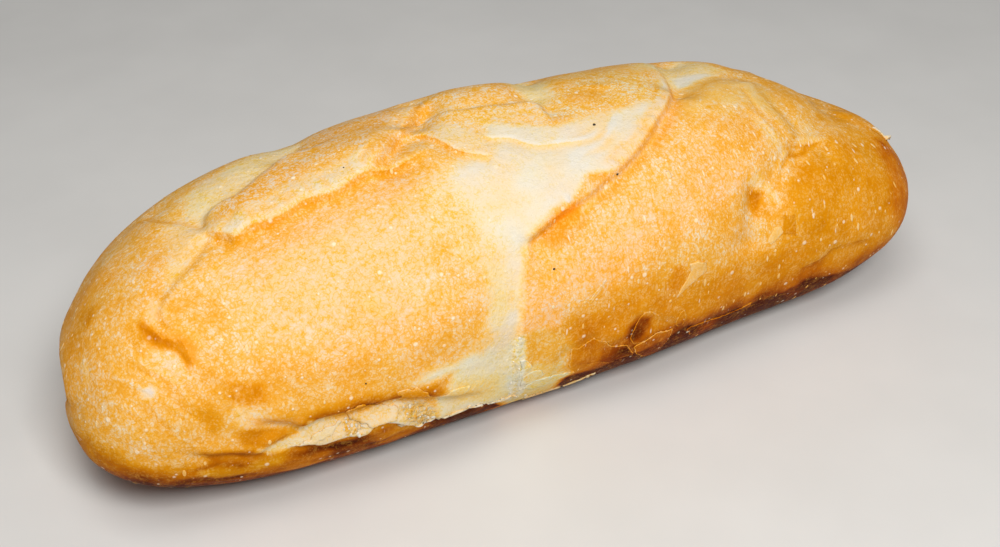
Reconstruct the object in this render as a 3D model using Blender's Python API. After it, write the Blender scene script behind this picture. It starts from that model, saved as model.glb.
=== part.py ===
"""A crusty white loaf, baked free on a tray, as one closed solid on its flat base.

The loaf lies along X and its split front faces -Y. Its plain body is a loft of round
sections. The crust's folds, tears, swellings and hollows are then raised on it or sunk
in it. A place on the crust is given as (along, round): millimetres along X from the
middle, and degrees round the section from the front, over the top (90) to the back (180).
Sizes in the tables are in millimetres, and the mesh is made in metres.
"""

import math
from typing import NamedTuple

import bmesh
import bpy
import numpy as np

MM = 0.001
LENGTH = 300.0
HALF = LENGTH / 2
END_BLUNTNESS = 4.0  # 2 is an ellipse seen from above, higher is blunter
UPPER_SQUARENESS = 2.15  # of the section above its widest line
LOWER_SQUARENESS = 2.5  # and below it
SINK = 1.18  # the lower half's depth over its height, before the tray flattens it
BASE_ROLL = 3.0  # radius at which the side turns into the flat base
BASE_FADE = 9.0  # height above the tray by which the relief reaches its full depth

RINGS = 320
RING_POINTS = 250
TRIANGLES = 10800
PATH_STEP = 0.8  # between the points of a path, once it is smooth
KNOT_SAMPLES = 40  # points read between two places of a path, to find its length
CROWN_SAMPLES = 4001  # points read along the top, to find its length
SNAP = 0.06  # what lies closer than this to the tray is on it
BELL_REACH = 3  # widths out from its middle at which a bell curve has died away
SWEEP_TAPER = 8.0  # how far a sweep takes to fade in or out
OVERHANG_REACH = 3.0  # how far from its edge a lip is pulled over the floor
WOBBLE = 0.5  # how far a fold's edge strays from its path
WOBBLE_SIZE = 6.0
WOBBLE_SEED = 31
CRUST_COLOUR = (0.78, 0.44, 0.13, 1.0)
CRUST_ROUGHNESS = 0.55


class Station(NamedTuple):
    """The plain section at one place along the loaf."""

    along: float
    front: float  # half width towards -Y
    back: float  # half width towards +Y
    crown: float  # height of the top
    belt: float  # height of the widest line
    bow: float  # sideways shift of the section's middle


STATIONS = (
    Station(-150.0, 55.0, 60.0, 86.0, 32.5, -5.0),
    Station(-127.5, 53.0, 57.0, 83.0, 33.0, 4.0),
    Station(-82.5, 52.0, 55.5, 82.0, 35.0, 8.0),
    Station(-30.0, 52.0, 54.0, 85.5, 36.0, 6.0),
    Station(22.5, 52.5, 53.0, 83.5, 36.0, 2.5),
    Station(75.0, 51.5, 51.0, 78.0, 36.0, 0.0),
    Station(120.0, 54.0, 51.0, 68.0, 33.0, -7.5),
    Station(150.0, 54.0, 49.0, 58.0, 32.0, -14.0),
)


class Fold(NamedTuple):
    """An edge of crust that stands over its neighbour, on the left of its path."""

    name: str
    path: tuple  # (along, round) places
    rise: float  # how far the lip stands proud
    drop: float  # how far the floor beside it lies back
    lip_reach: float  # how far back from the edge the lip falls to the plain crust
    floor_reach: float  # and how far out from it the floor climbs to the plain crust
    over: float = 0.0  # how far the lip hangs over the floor
    edge: float = 0.8  # how far the edge takes to turn down, so less is steeper
    start_taper: float = 8.0
    end_taper: float = 8.0


FOLDS = (
    Fold(
        "burst edge",
        ((-19.5, 37), (-6, 42), (9, 47), (22, 53), (30, 58), (44, 68), (51, 75), (59, 88), (66, 112)),
        rise=1.3,
        drop=4.4,
        lip_reach=9.0,
        floor_reach=11.0,
        over=1.2,
        start_taper=5.0,
    ),
    Fold(
        "front seam",
        ((-18, 39), (-20, 32), (-23, 25), (-24, 18), (-27, 5), (-28, -3), (-27, -12), (-25, -28)),
        rise=1.0,
        drop=2.4,
        lip_reach=10.0,
        floor_reach=9.0,
        over=0.4,
    ),
    Fold(
        "right lobe top",
        (
            *((77, 36), (86, 46), (89, 54), (87, 64), (88, 77), (91, 88)),
            *((82, 89), (71, 85), (60, 78), (53, 74)),
        ),
        rise=0.9,
        drop=3.4,
        lip_reach=12.0,
        floor_reach=8.0,
        start_taper=14.0,
    ),
    Fold(
        "right ledge",
        ((84, 44.5), (92, 44), (100, 45)),
        rise=0.9,
        drop=1.5,
        lip_reach=5.0,
        floor_reach=6.0,
        over=0.4,
        edge=0.6,
    ),
    Fold(
        "middle strip front",
        (
            *((-101, 84), (-97, 77), (-95, 74), (-91, 75), (-80, 74)),
            *((-73, 76), (-64, 75), (-54, 78), (-44, 77), (-36, 79)),
        ),
        rise=1.2,
        drop=2.4,
        lip_reach=7.0,
        floor_reach=9.0,
        over=0.9,
        end_taper=16.0,
    ),
    Fold(
        "middle strip back",
        ((-60, 119), (-70, 108), (-78, 102), (-87, 96), (-93, 97), (-98, 94), (-101, 87)),
        rise=0.8,
        drop=3.0,
        lip_reach=7.0,
        floor_reach=9.0,
        over=0.6,
        start_taper=12.0,
    ),
    Fold(
        "end cap top",
        ((-101, 86), (-104, 96), (-109, 108), (-113, 126)),
        rise=1.0,
        drop=2.0,
        lip_reach=8.0,
        floor_reach=8.0,
    ),
    Fold(
        "belly shoulder",
        ((-99, 84), (-105, 76), (-112, 70), (-118, 66), (-122, 61), (-122, 54)),
        rise=1.0,
        drop=1.8,
        lip_reach=9.0,
        floor_reach=9.0,
    ),
    Fold(
        "end crack",
        ((-128, 64), (-126.5, 56), (-125, 50), (-121, 46), (-120, 36)),
        rise=0.8,
        drop=1.9,
        lip_reach=6.0,
        floor_reach=3.5,
        edge=0.5,
    ),
    Fold(
        "end tuck",
        ((-139, 168), (-145, 140), (-147.5, 115), (-149, 88)),
        rise=1.3,
        drop=1.5,
        lip_reach=8.0,
        floor_reach=12.0,
        over=0.4,
        end_taper=5.0,
    ),
    Fold(
        "nose",
        ((-50, 80), (-44, 85), (-38, 91), (-34, 94), (-26, 104), (-18, 114)),
        rise=1.2,
        drop=3.2,
        lip_reach=9.0,
        floor_reach=8.0,
        over=0.6,
    ),
    Fold(
        "centre back",
        ((9, 82), (10, 90), (6, 94), (-10, 97), (-25, 103), (-35, 95)),
        rise=0.9,
        drop=2.0,
        lip_reach=8.0,
        floor_reach=6.0,
        over=0.4,
    ),
    Fold(
        "centre flap",
        ((-32, 87), (-28, 82), (-26, 77), (-18, 70), (-11, 67)),
        rise=0.9,
        drop=1.2,
        lip_reach=7.0,
        floor_reach=5.0,
        over=0.3,
        edge=0.5,
    ),
    Fold(
        "centre ledge",
        ((-14, 79), (-7, 73), (-4, 70.5), (2, 67.5), (10, 66)),
        rise=0.8,
        drop=0.9,
        lip_reach=6.0,
        floor_reach=5.0,
        over=0.3,
        edge=0.5,
    ),
    Fold(
        "brown top ridge",
        ((28, 95), (32, 91), (37, 89)),
        rise=0.9,
        drop=0.8,
        lip_reach=3.0,
        floor_reach=4.0,
        edge=0.6,
    ),
    Fold(
        "belly fold",
        ((-105, 7), (-99, 3), (-95, -1), (-90, 0), (-83, -1), (-73, -1), (-65, -3), (-55, -7), (-42, -12)),
        rise=1.3,
        drop=2.8,
        lip_reach=9.0,
        floor_reach=7.0,
        over=0.8,
        edge=1.2,
        end_taper=14.0,
    ),
    Fold(
        "end foot fold",
        ((-125, -1), (-122, -3), (-115, -6), (-108, -9), (-104, -6), (-99, -5)),
        rise=0.8,
        drop=1.8,
        lip_reach=5.0,
        floor_reach=5.0,
        over=0.3,
    ),
    Fold(
        "torn foot",
        ((-98, -8), (-88, -11), (-79, -12), (-68, -15), (-58, -16), (-47, -20), (-35, -26), (-24, -33)),
        rise=0.9,
        drop=1.3,
        lip_reach=5.0,
        floor_reach=6.0,
        edge=0.6,
    ),
    Fold(
        "right foot",
        (
            *((-14, -22), (-13, -8), (-6, -6), (-2, -4), (4, -10)),
            *((11, -9), (14, -2), (24, -6), (36, -15), (50, -18)),
        ),
        rise=0.7,
        drop=0.9,
        lip_reach=6.0,
        floor_reach=6.0,
        edge=0.6,
    ),
    Fold(
        "right heel",
        ((70, -8), (79, -7), (87, -6), (92, -2), (101, -2), (112, -4)),
        rise=0.8,
        drop=1.0,
        lip_reach=6.0,
        floor_reach=6.0,
    ),
)


class Sweep(NamedTuple):
    """A long soft swelling along a path, or a furrow where its height is below nothing."""

    name: str
    path: tuple
    height: float
    width: float  # from its middle line to where it is down to a third


SWEEPS = (
    Sweep("middle strip", ((-92, 86), (-80, 89), (-65, 92), (-52, 92), (-43, 90)), 1.6, 8.0),
    Sweep("back strip's end", ((112, 126), (119, 112), (122, 96), (123, 80)), -2.4, 8.0),
    Sweep(
        "end furrow",
        ((122, 79), (112, 64), (100, 54), (81, 39), (72, 32), (62, 20), (58, 8)),
        height=-2.2,
        width=8.0,
    ),
    Sweep("split's far end", ((56, 80), (65, 96), (71, 109), (77, 124)), -2.6, 6.0),
    Sweep("middle notch", ((-31, 96), (-24, 108), (-20, 122)), -2.0, 6.0),
    Sweep("top notch", ((10, 96), (16, 108), (26, 132)), -2.2, 6.0),
    Sweep("strip notch", ((-64, 110), (-61, 122), (-60, 145)), -2.2, 10.0),
)


class Swell(NamedTuple):
    """A round swelling of the crust, or a hollow where its height is below nothing."""

    name: str
    place: tuple
    height: float
    long: float  # radius along X
    wide: float  # radius across it


SWELLS = (
    Swell("right lobe", (52, 58), 2.6, 36.0, 26.0),
    Swell("right end lobe", (134, 58), 2.0, 9.0, 15.0),
    Swell("right end heel", (122, -8), 1.8, 18.0, 12.0),
    Swell("right tip", (141, 18), -1.6, 10.0, 14.0),
    Swell("belly", (-70, 42), 1.6, 38.0, 26.0),
    Swell("end cap", (-132, 70), 1.2, 16.0, 20.0),
    Swell("left shoulder", (-125, 130), -1.4, 24.0, 20.0),
    Swell("left heel", (-149, -18), 1.0, 8.0, 12.0),
    Swell("back crust", (-4, 112), 2.0, 20.0, 12.0),
    Swell("brown top", (36, 92), 1.4, 22.0, 14.0),
    Swell("pale hollow", (-27, 30), -2.0, 13.0, 26.0),
    Swell("dimple", (62, 27), -1.8, 4.0, 6.0),
    Swell("foot pillow", (-104, 4), 1.0, 6.0, 5.0),
    Swell("foot lumps", (-62, -11), 1.2, 22.0, 7.0),
)


class Lumps(NamedTuple):
    """Chance unevenness of the crust, of one size."""

    size: float
    height: float
    seed: int


LUMPS = (Lumps(42.0, 0.9, 11), Lumps(17.0, 0.45, 12), Lumps(7.5, 0.2, 13))


def between(x, xs, ys):
    """A smooth curve through the stations' values, read at x."""
    slope = np.gradient(ys, xs)
    i = np.clip(np.searchsorted(xs, x) - 1, 0, len(xs) - 2)
    gap = xs[i + 1] - xs[i]
    t = (x - xs[i]) / gap
    start = (2 * t**3 - 3 * t**2 + 1) * ys[i] + (t**3 - 2 * t**2 + t) * gap * slope[i]
    end = (3 * t**2 - 2 * t**3) * ys[i + 1] + (t**3 - t**2) * gap * slope[i + 1]
    return start + end


def plain_crust(along, turn):
    """The loaf's body without its folds, at millimetres along and radians round."""
    columns = np.array(STATIONS).T
    front, back, crown, belt, bow = (between(along, columns[0], c) for c in columns[1:])
    end = np.sqrt(np.clip(1 - np.abs(along / HALF) ** END_BLUNTNESS, 0, None))
    cosine = np.cos(turn)
    sine = np.sin(turn)
    half_width = np.maximum(np.where(cosine > 0, front, back) * end, 1e-6)
    half_height = np.maximum(np.where(sine > 0, crown - belt, belt * SINK) * end, 1e-6)
    power = np.where(sine > 0, UPPER_SQUARENESS, LOWER_SQUARENESS)
    inverse = (np.abs(cosine) / half_width) ** power + (np.abs(sine) / half_height) ** power
    radius = inverse ** (-1 / power)
    height = belt + radius * sine
    rolled = (np.maximum(height, -BASE_ROLL) + BASE_ROLL) ** 2 / (4 * BASE_ROLL)
    height = np.where(height < BASE_ROLL, rolled, height)
    return np.stack(np.broadcast_arrays(along, bow - radius * cosine, height), axis=-1)


def unit(vectors):
    """The vectors at length 1."""
    return vectors / np.maximum(np.linalg.norm(vectors, axis=-1, keepdims=True), 1e-12)


def outwards(along, turn):
    """The plain crust's outward direction."""
    step = 1e-3
    reach = HALF - 1e-4
    ahead = plain_crust(np.clip(along + step, -reach, reach), turn)
    behind = plain_crust(np.clip(along - step, -reach, reach), turn)
    round_ = plain_crust(along, turn + step) - plain_crust(along, turn - step)
    return unit(np.cross(ahead - behind, round_))


def smooth_path(places):
    """Points on the plain crust along a smooth curve through the places.

    Gives each point, the way ahead and to the left there, and how far along it is.
    """
    knots = np.array(places, float)
    steps = np.arange(len(knots))
    t = np.linspace(0, steps[-1], KNOT_SAMPLES * steps[-1])
    along = between(t, steps, knots[:, 0])
    turn = np.radians(between(t, steps, knots[:, 1]))
    points = plain_crust(along, turn)
    gone = np.concatenate([[0], np.cumsum(np.linalg.norm(np.diff(points, axis=0), axis=1))])
    even = np.linspace(0, gone[-1], int(gone[-1] / PATH_STEP) + 2)
    along = np.interp(even, gone, along)
    turn = np.interp(even, gone, turn)
    points = plain_crust(along, turn)
    normal = outwards(along, turn)
    forward = unit(np.gradient(points, axis=0))
    left = unit(np.cross(normal, forward))
    return points, forward, left, even


def measure(crust, places, reach):
    """Where the crust's points lie beside a path.

    Gives the points within reach, their distance to its left, how far along it they are,
    the path's length and the direction to its left.
    """
    points, forward, left, gone = smooth_path(places)
    low = points.min(axis=0) - reach
    high = points.max(axis=0) + reach
    near = np.nonzero(((crust > low) & (crust < high)).all(axis=1))[0]
    square = np.full(len(near), np.inf)
    which = np.zeros(len(near), int)
    for i, point in enumerate(points):
        distance = ((crust[near] - point) ** 2).sum(axis=1)
        closer = distance < square
        square[closer] = distance[closer]
        which[closer] = i
    keep = square < reach**2
    near = near[keep]
    which = which[keep]
    offset = crust[near] - points[which]
    side = (offset * left[which]).sum(axis=1)
    run = gone[which] + (offset * forward[which]).sum(axis=1)
    return near, side, run, gone[-1], left[which]


def ramp(x):
    """0 below 0, 1 above 1, and smooth between."""
    x = np.clip(x, 0, 1)
    return x * x * (3 - 2 * x)


def bell(x):
    """1 at 0, falling to nothing on both sides."""
    return np.exp(-(x**2))


def taper(run, length, start, end):
    """1 along a path, falling to 0 at its ends."""
    return ramp(run / start + 0.5) * ramp((length - run) / end + 0.5)


def noise(points, size, seed):
    """Smooth seeded noise from -1 to 1, with lumps of the size given."""
    draw = np.random.default_rng(seed)
    order = draw.permutation(256)
    value = draw.uniform(-1, 1, 256)
    place = points / size
    cell = np.floor(place).astype(int)
    part = ramp(place - cell)
    total = np.zeros(len(points))
    for corner in range(8):
        bits = np.array([corner & 1, corner >> 1 & 1, corner >> 2 & 1])
        key = cell + bits
        mixed = order[(order[(order[key[:, 0] & 255] + key[:, 1]) & 255] + key[:, 2]) & 255]
        total += value[mixed] * np.where(bits, part, 1 - part).prod(axis=1)
    return total


def relief(crust):
    """How far each point of the plain crust moves outwards, and its move sideways."""
    height = np.zeros(len(crust))
    slide = np.zeros_like(crust)
    for lumps in LUMPS:
        height += lumps.height * noise(crust, lumps.size, lumps.seed)
    for swell in SWELLS:
        middle = plain_crust(swell.place[0], math.radians(swell.place[1]))
        offset = crust - middle
        long = offset[:, 0] / swell.long
        wide = np.hypot(offset[:, 1], offset[:, 2]) / swell.wide
        height += swell.height * bell(long) * bell(wide)
    for sweep in SWEEPS:
        near, side, run, length, _ = measure(crust, sweep.path, BELL_REACH * sweep.width)
        strength = taper(run, length, SWEEP_TAPER, SWEEP_TAPER)
        height[near] += sweep.height * strength * bell(side / sweep.width)
    for fold in FOLDS:
        add_fold(crust, fold, height, slide)
    return height, slide


def add_fold(crust, fold, height, slide):
    """Raise one fold's lip and lower its floor, with a steep rounded edge between them."""
    reach = BELL_REACH * max(fold.lip_reach, fold.floor_reach)
    near, side, run, length, left = measure(crust, fold.path, reach)
    side = side + WOBBLE * noise(crust[near], WOBBLE_SIZE, WOBBLE_SEED)
    strength = taper(run, length, fold.start_taper, fold.end_taper)
    on_lip = 0.5 + 0.5 * np.tanh(side / fold.edge)
    lip = fold.rise * bell(np.maximum(side, 0) / fold.lip_reach)
    floor = -fold.drop * bell(np.minimum(side, 0) / fold.floor_reach)
    height[near] += strength * (on_lip * lip + (1 - on_lip) * floor)
    hang = strength * on_lip * fold.over * bell(side / OVERHANG_REACH)
    slide[near] -= left * hang[:, None]


def even_rings():
    """Places along the loaf for rings that are evenly spaced over its top and its ends."""
    fine = HALF * np.sin(np.linspace(-math.pi / 2, math.pi / 2, CROWN_SAMPLES))
    crown = plain_crust(fine, np.full_like(fine, math.pi / 2))
    gone = np.concatenate([[0], np.cumsum(np.linalg.norm(np.diff(crown, axis=0), axis=1))])
    return np.interp(np.linspace(0, gone[-1], RINGS + 2), gone, fine)[1:-1]


def crust_points():
    """The loaf's points, ring by ring, and then its two end points."""
    along, turn = np.meshgrid(
        even_rings(), np.linspace(0, 2 * math.pi, RING_POINTS, endpoint=False), indexing="ij"
    )
    along = along.ravel()
    turn = turn.ravel()
    plain = plain_crust(along, turn)
    height, slide = relief(plain)
    fade = ramp(plain[:, 2:] / BASE_FADE)
    crust = plain + fade * (outwards(along, turn) * height[:, None] + slide)
    crust[:, 2] = np.maximum(crust[:, 2], 0)
    rings = crust.reshape(RINGS, RING_POINTS, 3)
    ends = rings[[0, -1]].mean(axis=1)
    ends[:, 0] = np.sign(ends[:, 0]) * np.abs(rings[[0, -1], :, 0]).max(axis=1)
    return rings, ends


def loft(rings, ends):
    """A closed mesh over the rings, fanned shut at both ends."""
    work = bmesh.new()
    loops = [[work.verts.new(point * MM) for point in ring] for ring in rings]
    for ring, following in zip(loops, loops[1:]):
        for i in range(RING_POINTS):
            j = (i + 1) % RING_POINTS
            work.faces.new((ring[i], following[i], following[j], ring[j]))
    for loop, end in ((loops[0][::-1], ends[0]), (loops[-1], ends[1])):
        tip = work.verts.new(end * MM)
        for i in range(RING_POINTS):
            work.faces.new((loop[i], tip, loop[(i + 1) % RING_POINTS]))
    bmesh.ops.recalc_face_normals(work, faces=work.faces)
    mesh = bpy.data.meshes.new("loaf_fine")
    work.to_mesh(mesh)
    work.free()
    return mesh


def thinned(mesh):
    """The mesh with its flat stretches in fewer, larger triangles."""
    carrier = bpy.data.objects.new("loaf_fine", mesh)
    bpy.context.scene.collection.objects.link(carrier)
    thin = carrier.modifiers.new("Fewer triangles", "DECIMATE")
    thin.ratio = TRIANGLES / (2 * RINGS * RING_POINTS)
    thin.use_collapse_triangulate = True
    view = bpy.context.evaluated_depsgraph_get()
    result = bpy.data.meshes.new_from_object(carrier.evaluated_get(view))
    bpy.data.objects.remove(carrier)
    bpy.data.meshes.remove(mesh)
    return result


def stand(mesh):
    """Set the mesh flat on the tray, with the middle of its box over the origin."""
    places = np.empty(3 * len(mesh.vertices))
    mesh.vertices.foreach_get("co", places)
    places = places.reshape(-1, 3)
    places[places[:, 2] < SNAP * MM, 2] = 0
    middle = (places.min(axis=0) + places.max(axis=0)) / 2
    places[:, :2] -= middle[:2]
    mesh.vertices.foreach_set("co", places.ravel())
    mesh.update()


def crust_material():
    """Plain pale-gold crust."""
    material = bpy.data.materials.new("crust")
    material.use_nodes = True
    shader = material.node_tree.nodes["Principled BSDF"]
    shader.inputs["Base Color"].default_value = CRUST_COLOUR
    shader.inputs["Roughness"].default_value = CRUST_ROUGHNESS
    shader.inputs["Metallic"].default_value = 0.0
    material.diffuse_color = CRUST_COLOUR
    return material


def make_loaf():
    """The whole loaf, as one object."""
    mesh = thinned(loft(*crust_points()))
    stand(mesh)
    mesh.name = "loaf"
    mesh.materials.append(crust_material())
    mesh.shade_smooth()
    loaf = bpy.data.objects.new("loaf", mesh)
    bpy.context.scene.collection.objects.link(loaf)
    return loaf


for old in list(bpy.data.objects):
    bpy.data.objects.remove(old)
make_loaf()
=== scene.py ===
"""The looks of a crusty white loaf: its fine crust, its finishes and a plain studio.

The loaf's form is the solid's own: the same sections, folds, sweeps and swellings, read on a
grid that is fine enough for wrinkles and thin ledges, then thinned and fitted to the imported
solid's box. A place on the crust is given as (along, round): millimetres along X from the
middle, and degrees round the section from the front, over the top (90) to the back (180).
Sizes in the tables are in millimetres, and the meshes are made in metres. A tone says how
far the crust is baked: 0 is cream, 0.5 is gold and 1 is dark brown.
"""

import logging
import math
from dataclasses import dataclass, field
from enum import Enum
from typing import Any

import bmesh
import bpy
import numpy as np
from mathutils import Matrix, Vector

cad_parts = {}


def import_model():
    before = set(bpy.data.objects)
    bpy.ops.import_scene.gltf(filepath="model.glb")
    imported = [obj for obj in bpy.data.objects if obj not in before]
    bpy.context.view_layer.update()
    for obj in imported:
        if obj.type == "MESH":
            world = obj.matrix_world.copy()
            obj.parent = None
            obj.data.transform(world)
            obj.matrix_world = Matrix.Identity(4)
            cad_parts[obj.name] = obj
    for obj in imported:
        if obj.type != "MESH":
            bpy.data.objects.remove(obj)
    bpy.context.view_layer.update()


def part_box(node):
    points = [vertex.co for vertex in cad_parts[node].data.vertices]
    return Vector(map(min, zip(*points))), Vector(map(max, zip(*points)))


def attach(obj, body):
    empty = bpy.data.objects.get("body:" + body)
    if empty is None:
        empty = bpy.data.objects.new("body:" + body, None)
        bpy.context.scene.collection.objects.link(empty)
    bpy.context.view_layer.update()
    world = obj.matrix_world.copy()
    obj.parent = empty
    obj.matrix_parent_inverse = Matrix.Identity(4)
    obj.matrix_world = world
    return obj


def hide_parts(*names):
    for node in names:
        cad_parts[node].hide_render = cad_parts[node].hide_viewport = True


LOG = logging.getLogger("loaf")
MM = 0.001
Place = tuple[float, float]
Places = tuple[Place, ...]
Array = np.ndarray


# -------------------- the loaf's form


@dataclass(frozen=True)
class Station:
    """The plain section at one place along the loaf."""

    along: float
    front: float  # half width towards -Y
    back: float  # half width towards +Y
    crown: float  # height of the top
    belt: float  # height of the widest line
    bow: float  # sideways shift of the section's middle


@dataclass(frozen=True)
class Fold:
    """An edge of crust that stands over its neighbour, on the left of its path."""

    name: str
    path: Places
    rise: float  # how far the lip stands proud
    drop: float  # how far the floor beside it lies back
    lip_reach: float = 8.0  # how far back from the edge the lip falls to the plain crust
    floor_reach: float = 6.0  # and how far out from it the floor climbs to the plain crust
    over: float = 0.0  # how far the lip hangs over the floor
    edge: float = 1.3  # how far the edge takes to turn down, so less is steeper
    start_taper: float = 8.0
    end_taper: float = 8.0
    lip_tone: float = 0.0  # how much browner the lip is than the crust round it
    floor_tone: float = 0.0  # how much darker the floor is, partly browner crust and partly painted shade under the lip
    tone_reach: float = 2.0  # how far from the edge those tones carry
    line: float = 0.0  # how dark a thin line of painted shade it has along its edge
    rim: float = 0.0  # how pale a thin rim it has on its lip
    wall: float = 0.0  # how far up the lip's edge the floor's tone and its painted shade come


@dataclass(frozen=True)
class Sweep:
    """A long soft swelling along a path, or a furrow where its height is below nothing."""

    name: str
    path: Places
    height: float
    width: float


@dataclass(frozen=True)
class Swell:
    """A round swelling of the crust, or a hollow where its height is below nothing."""

    name: str
    place: Place
    height: float
    long: float  # radius along X
    wide: float  # radius across it


@dataclass(frozen=True)
class Lumps:
    """Chance unevenness of the crust, of one size."""

    size: float
    height: float
    seed: int


@dataclass(frozen=True)
class Stretch:
    """Fine ridges where the skin was drawn out, beside a path or across it."""

    name: str
    path: Places
    reach: float  # how far to each side they spread
    spacing: float  # from ridge to ridge
    length: float  # of one ridge
    height: float
    seed: int
    offset: float = 0.0  # how far to the path's left their middle lies
    across: bool = False
    shown: float = 1.0  # how much of them the colour shows


@dataclass(frozen=True)
class Flake:
    """A thin piece of skin that lies on the crust.

    Without a tone it has the crust's own, with its shade added. A raised place is where it stands off.
    """

    name: str
    outline: Places
    thick: float = 0.25
    tone: float | None = None
    shade: float = 0.0
    warmth: float = 0.0
    rim: float = 0.5
    ragged: float = 0.35
    raised: Place = (0.0, 0.0)
    lift: float = 0.0
    lift_reach: float = 4.0


@dataclass(frozen=True)
class Patch:
    """A zone of the crust with a colour of its own, or with painted shade or a painted highlight."""

    name: str
    outline: Places
    tone: float
    warmth: float = 0.0  # above nothing is redder, below it yellower
    grain: float = 1.0  # how much of the fine mottling shows
    blend: float = 3.0  # how far its edge takes to fade
    ragged: float = 2.0  # how far its edge strays
    strength: float = 1.0
    rough: float = 0.0  # how torn it is


STATIONS = (
    Station(-150.0, 55.0, 60.0, 86.0, 32.5, -5.0),
    Station(-127.5, 53.0, 57.0, 83.0, 33.0, 4.0),
    Station(-82.5, 52.0, 55.5, 82.0, 35.0, 8.0),
    Station(-30.0, 52.0, 54.0, 85.5, 36.0, 6.0),
    Station(22.5, 52.5, 53.0, 83.5, 36.0, 2.5),
    Station(75.0, 51.5, 51.0, 78.0, 36.0, 0.0),
    Station(120.0, 54.0, 51.0, 68.0, 33.0, -7.5),
    Station(150.0, 54.0, 49.0, 58.0, 32.0, -14.0),
)

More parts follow.
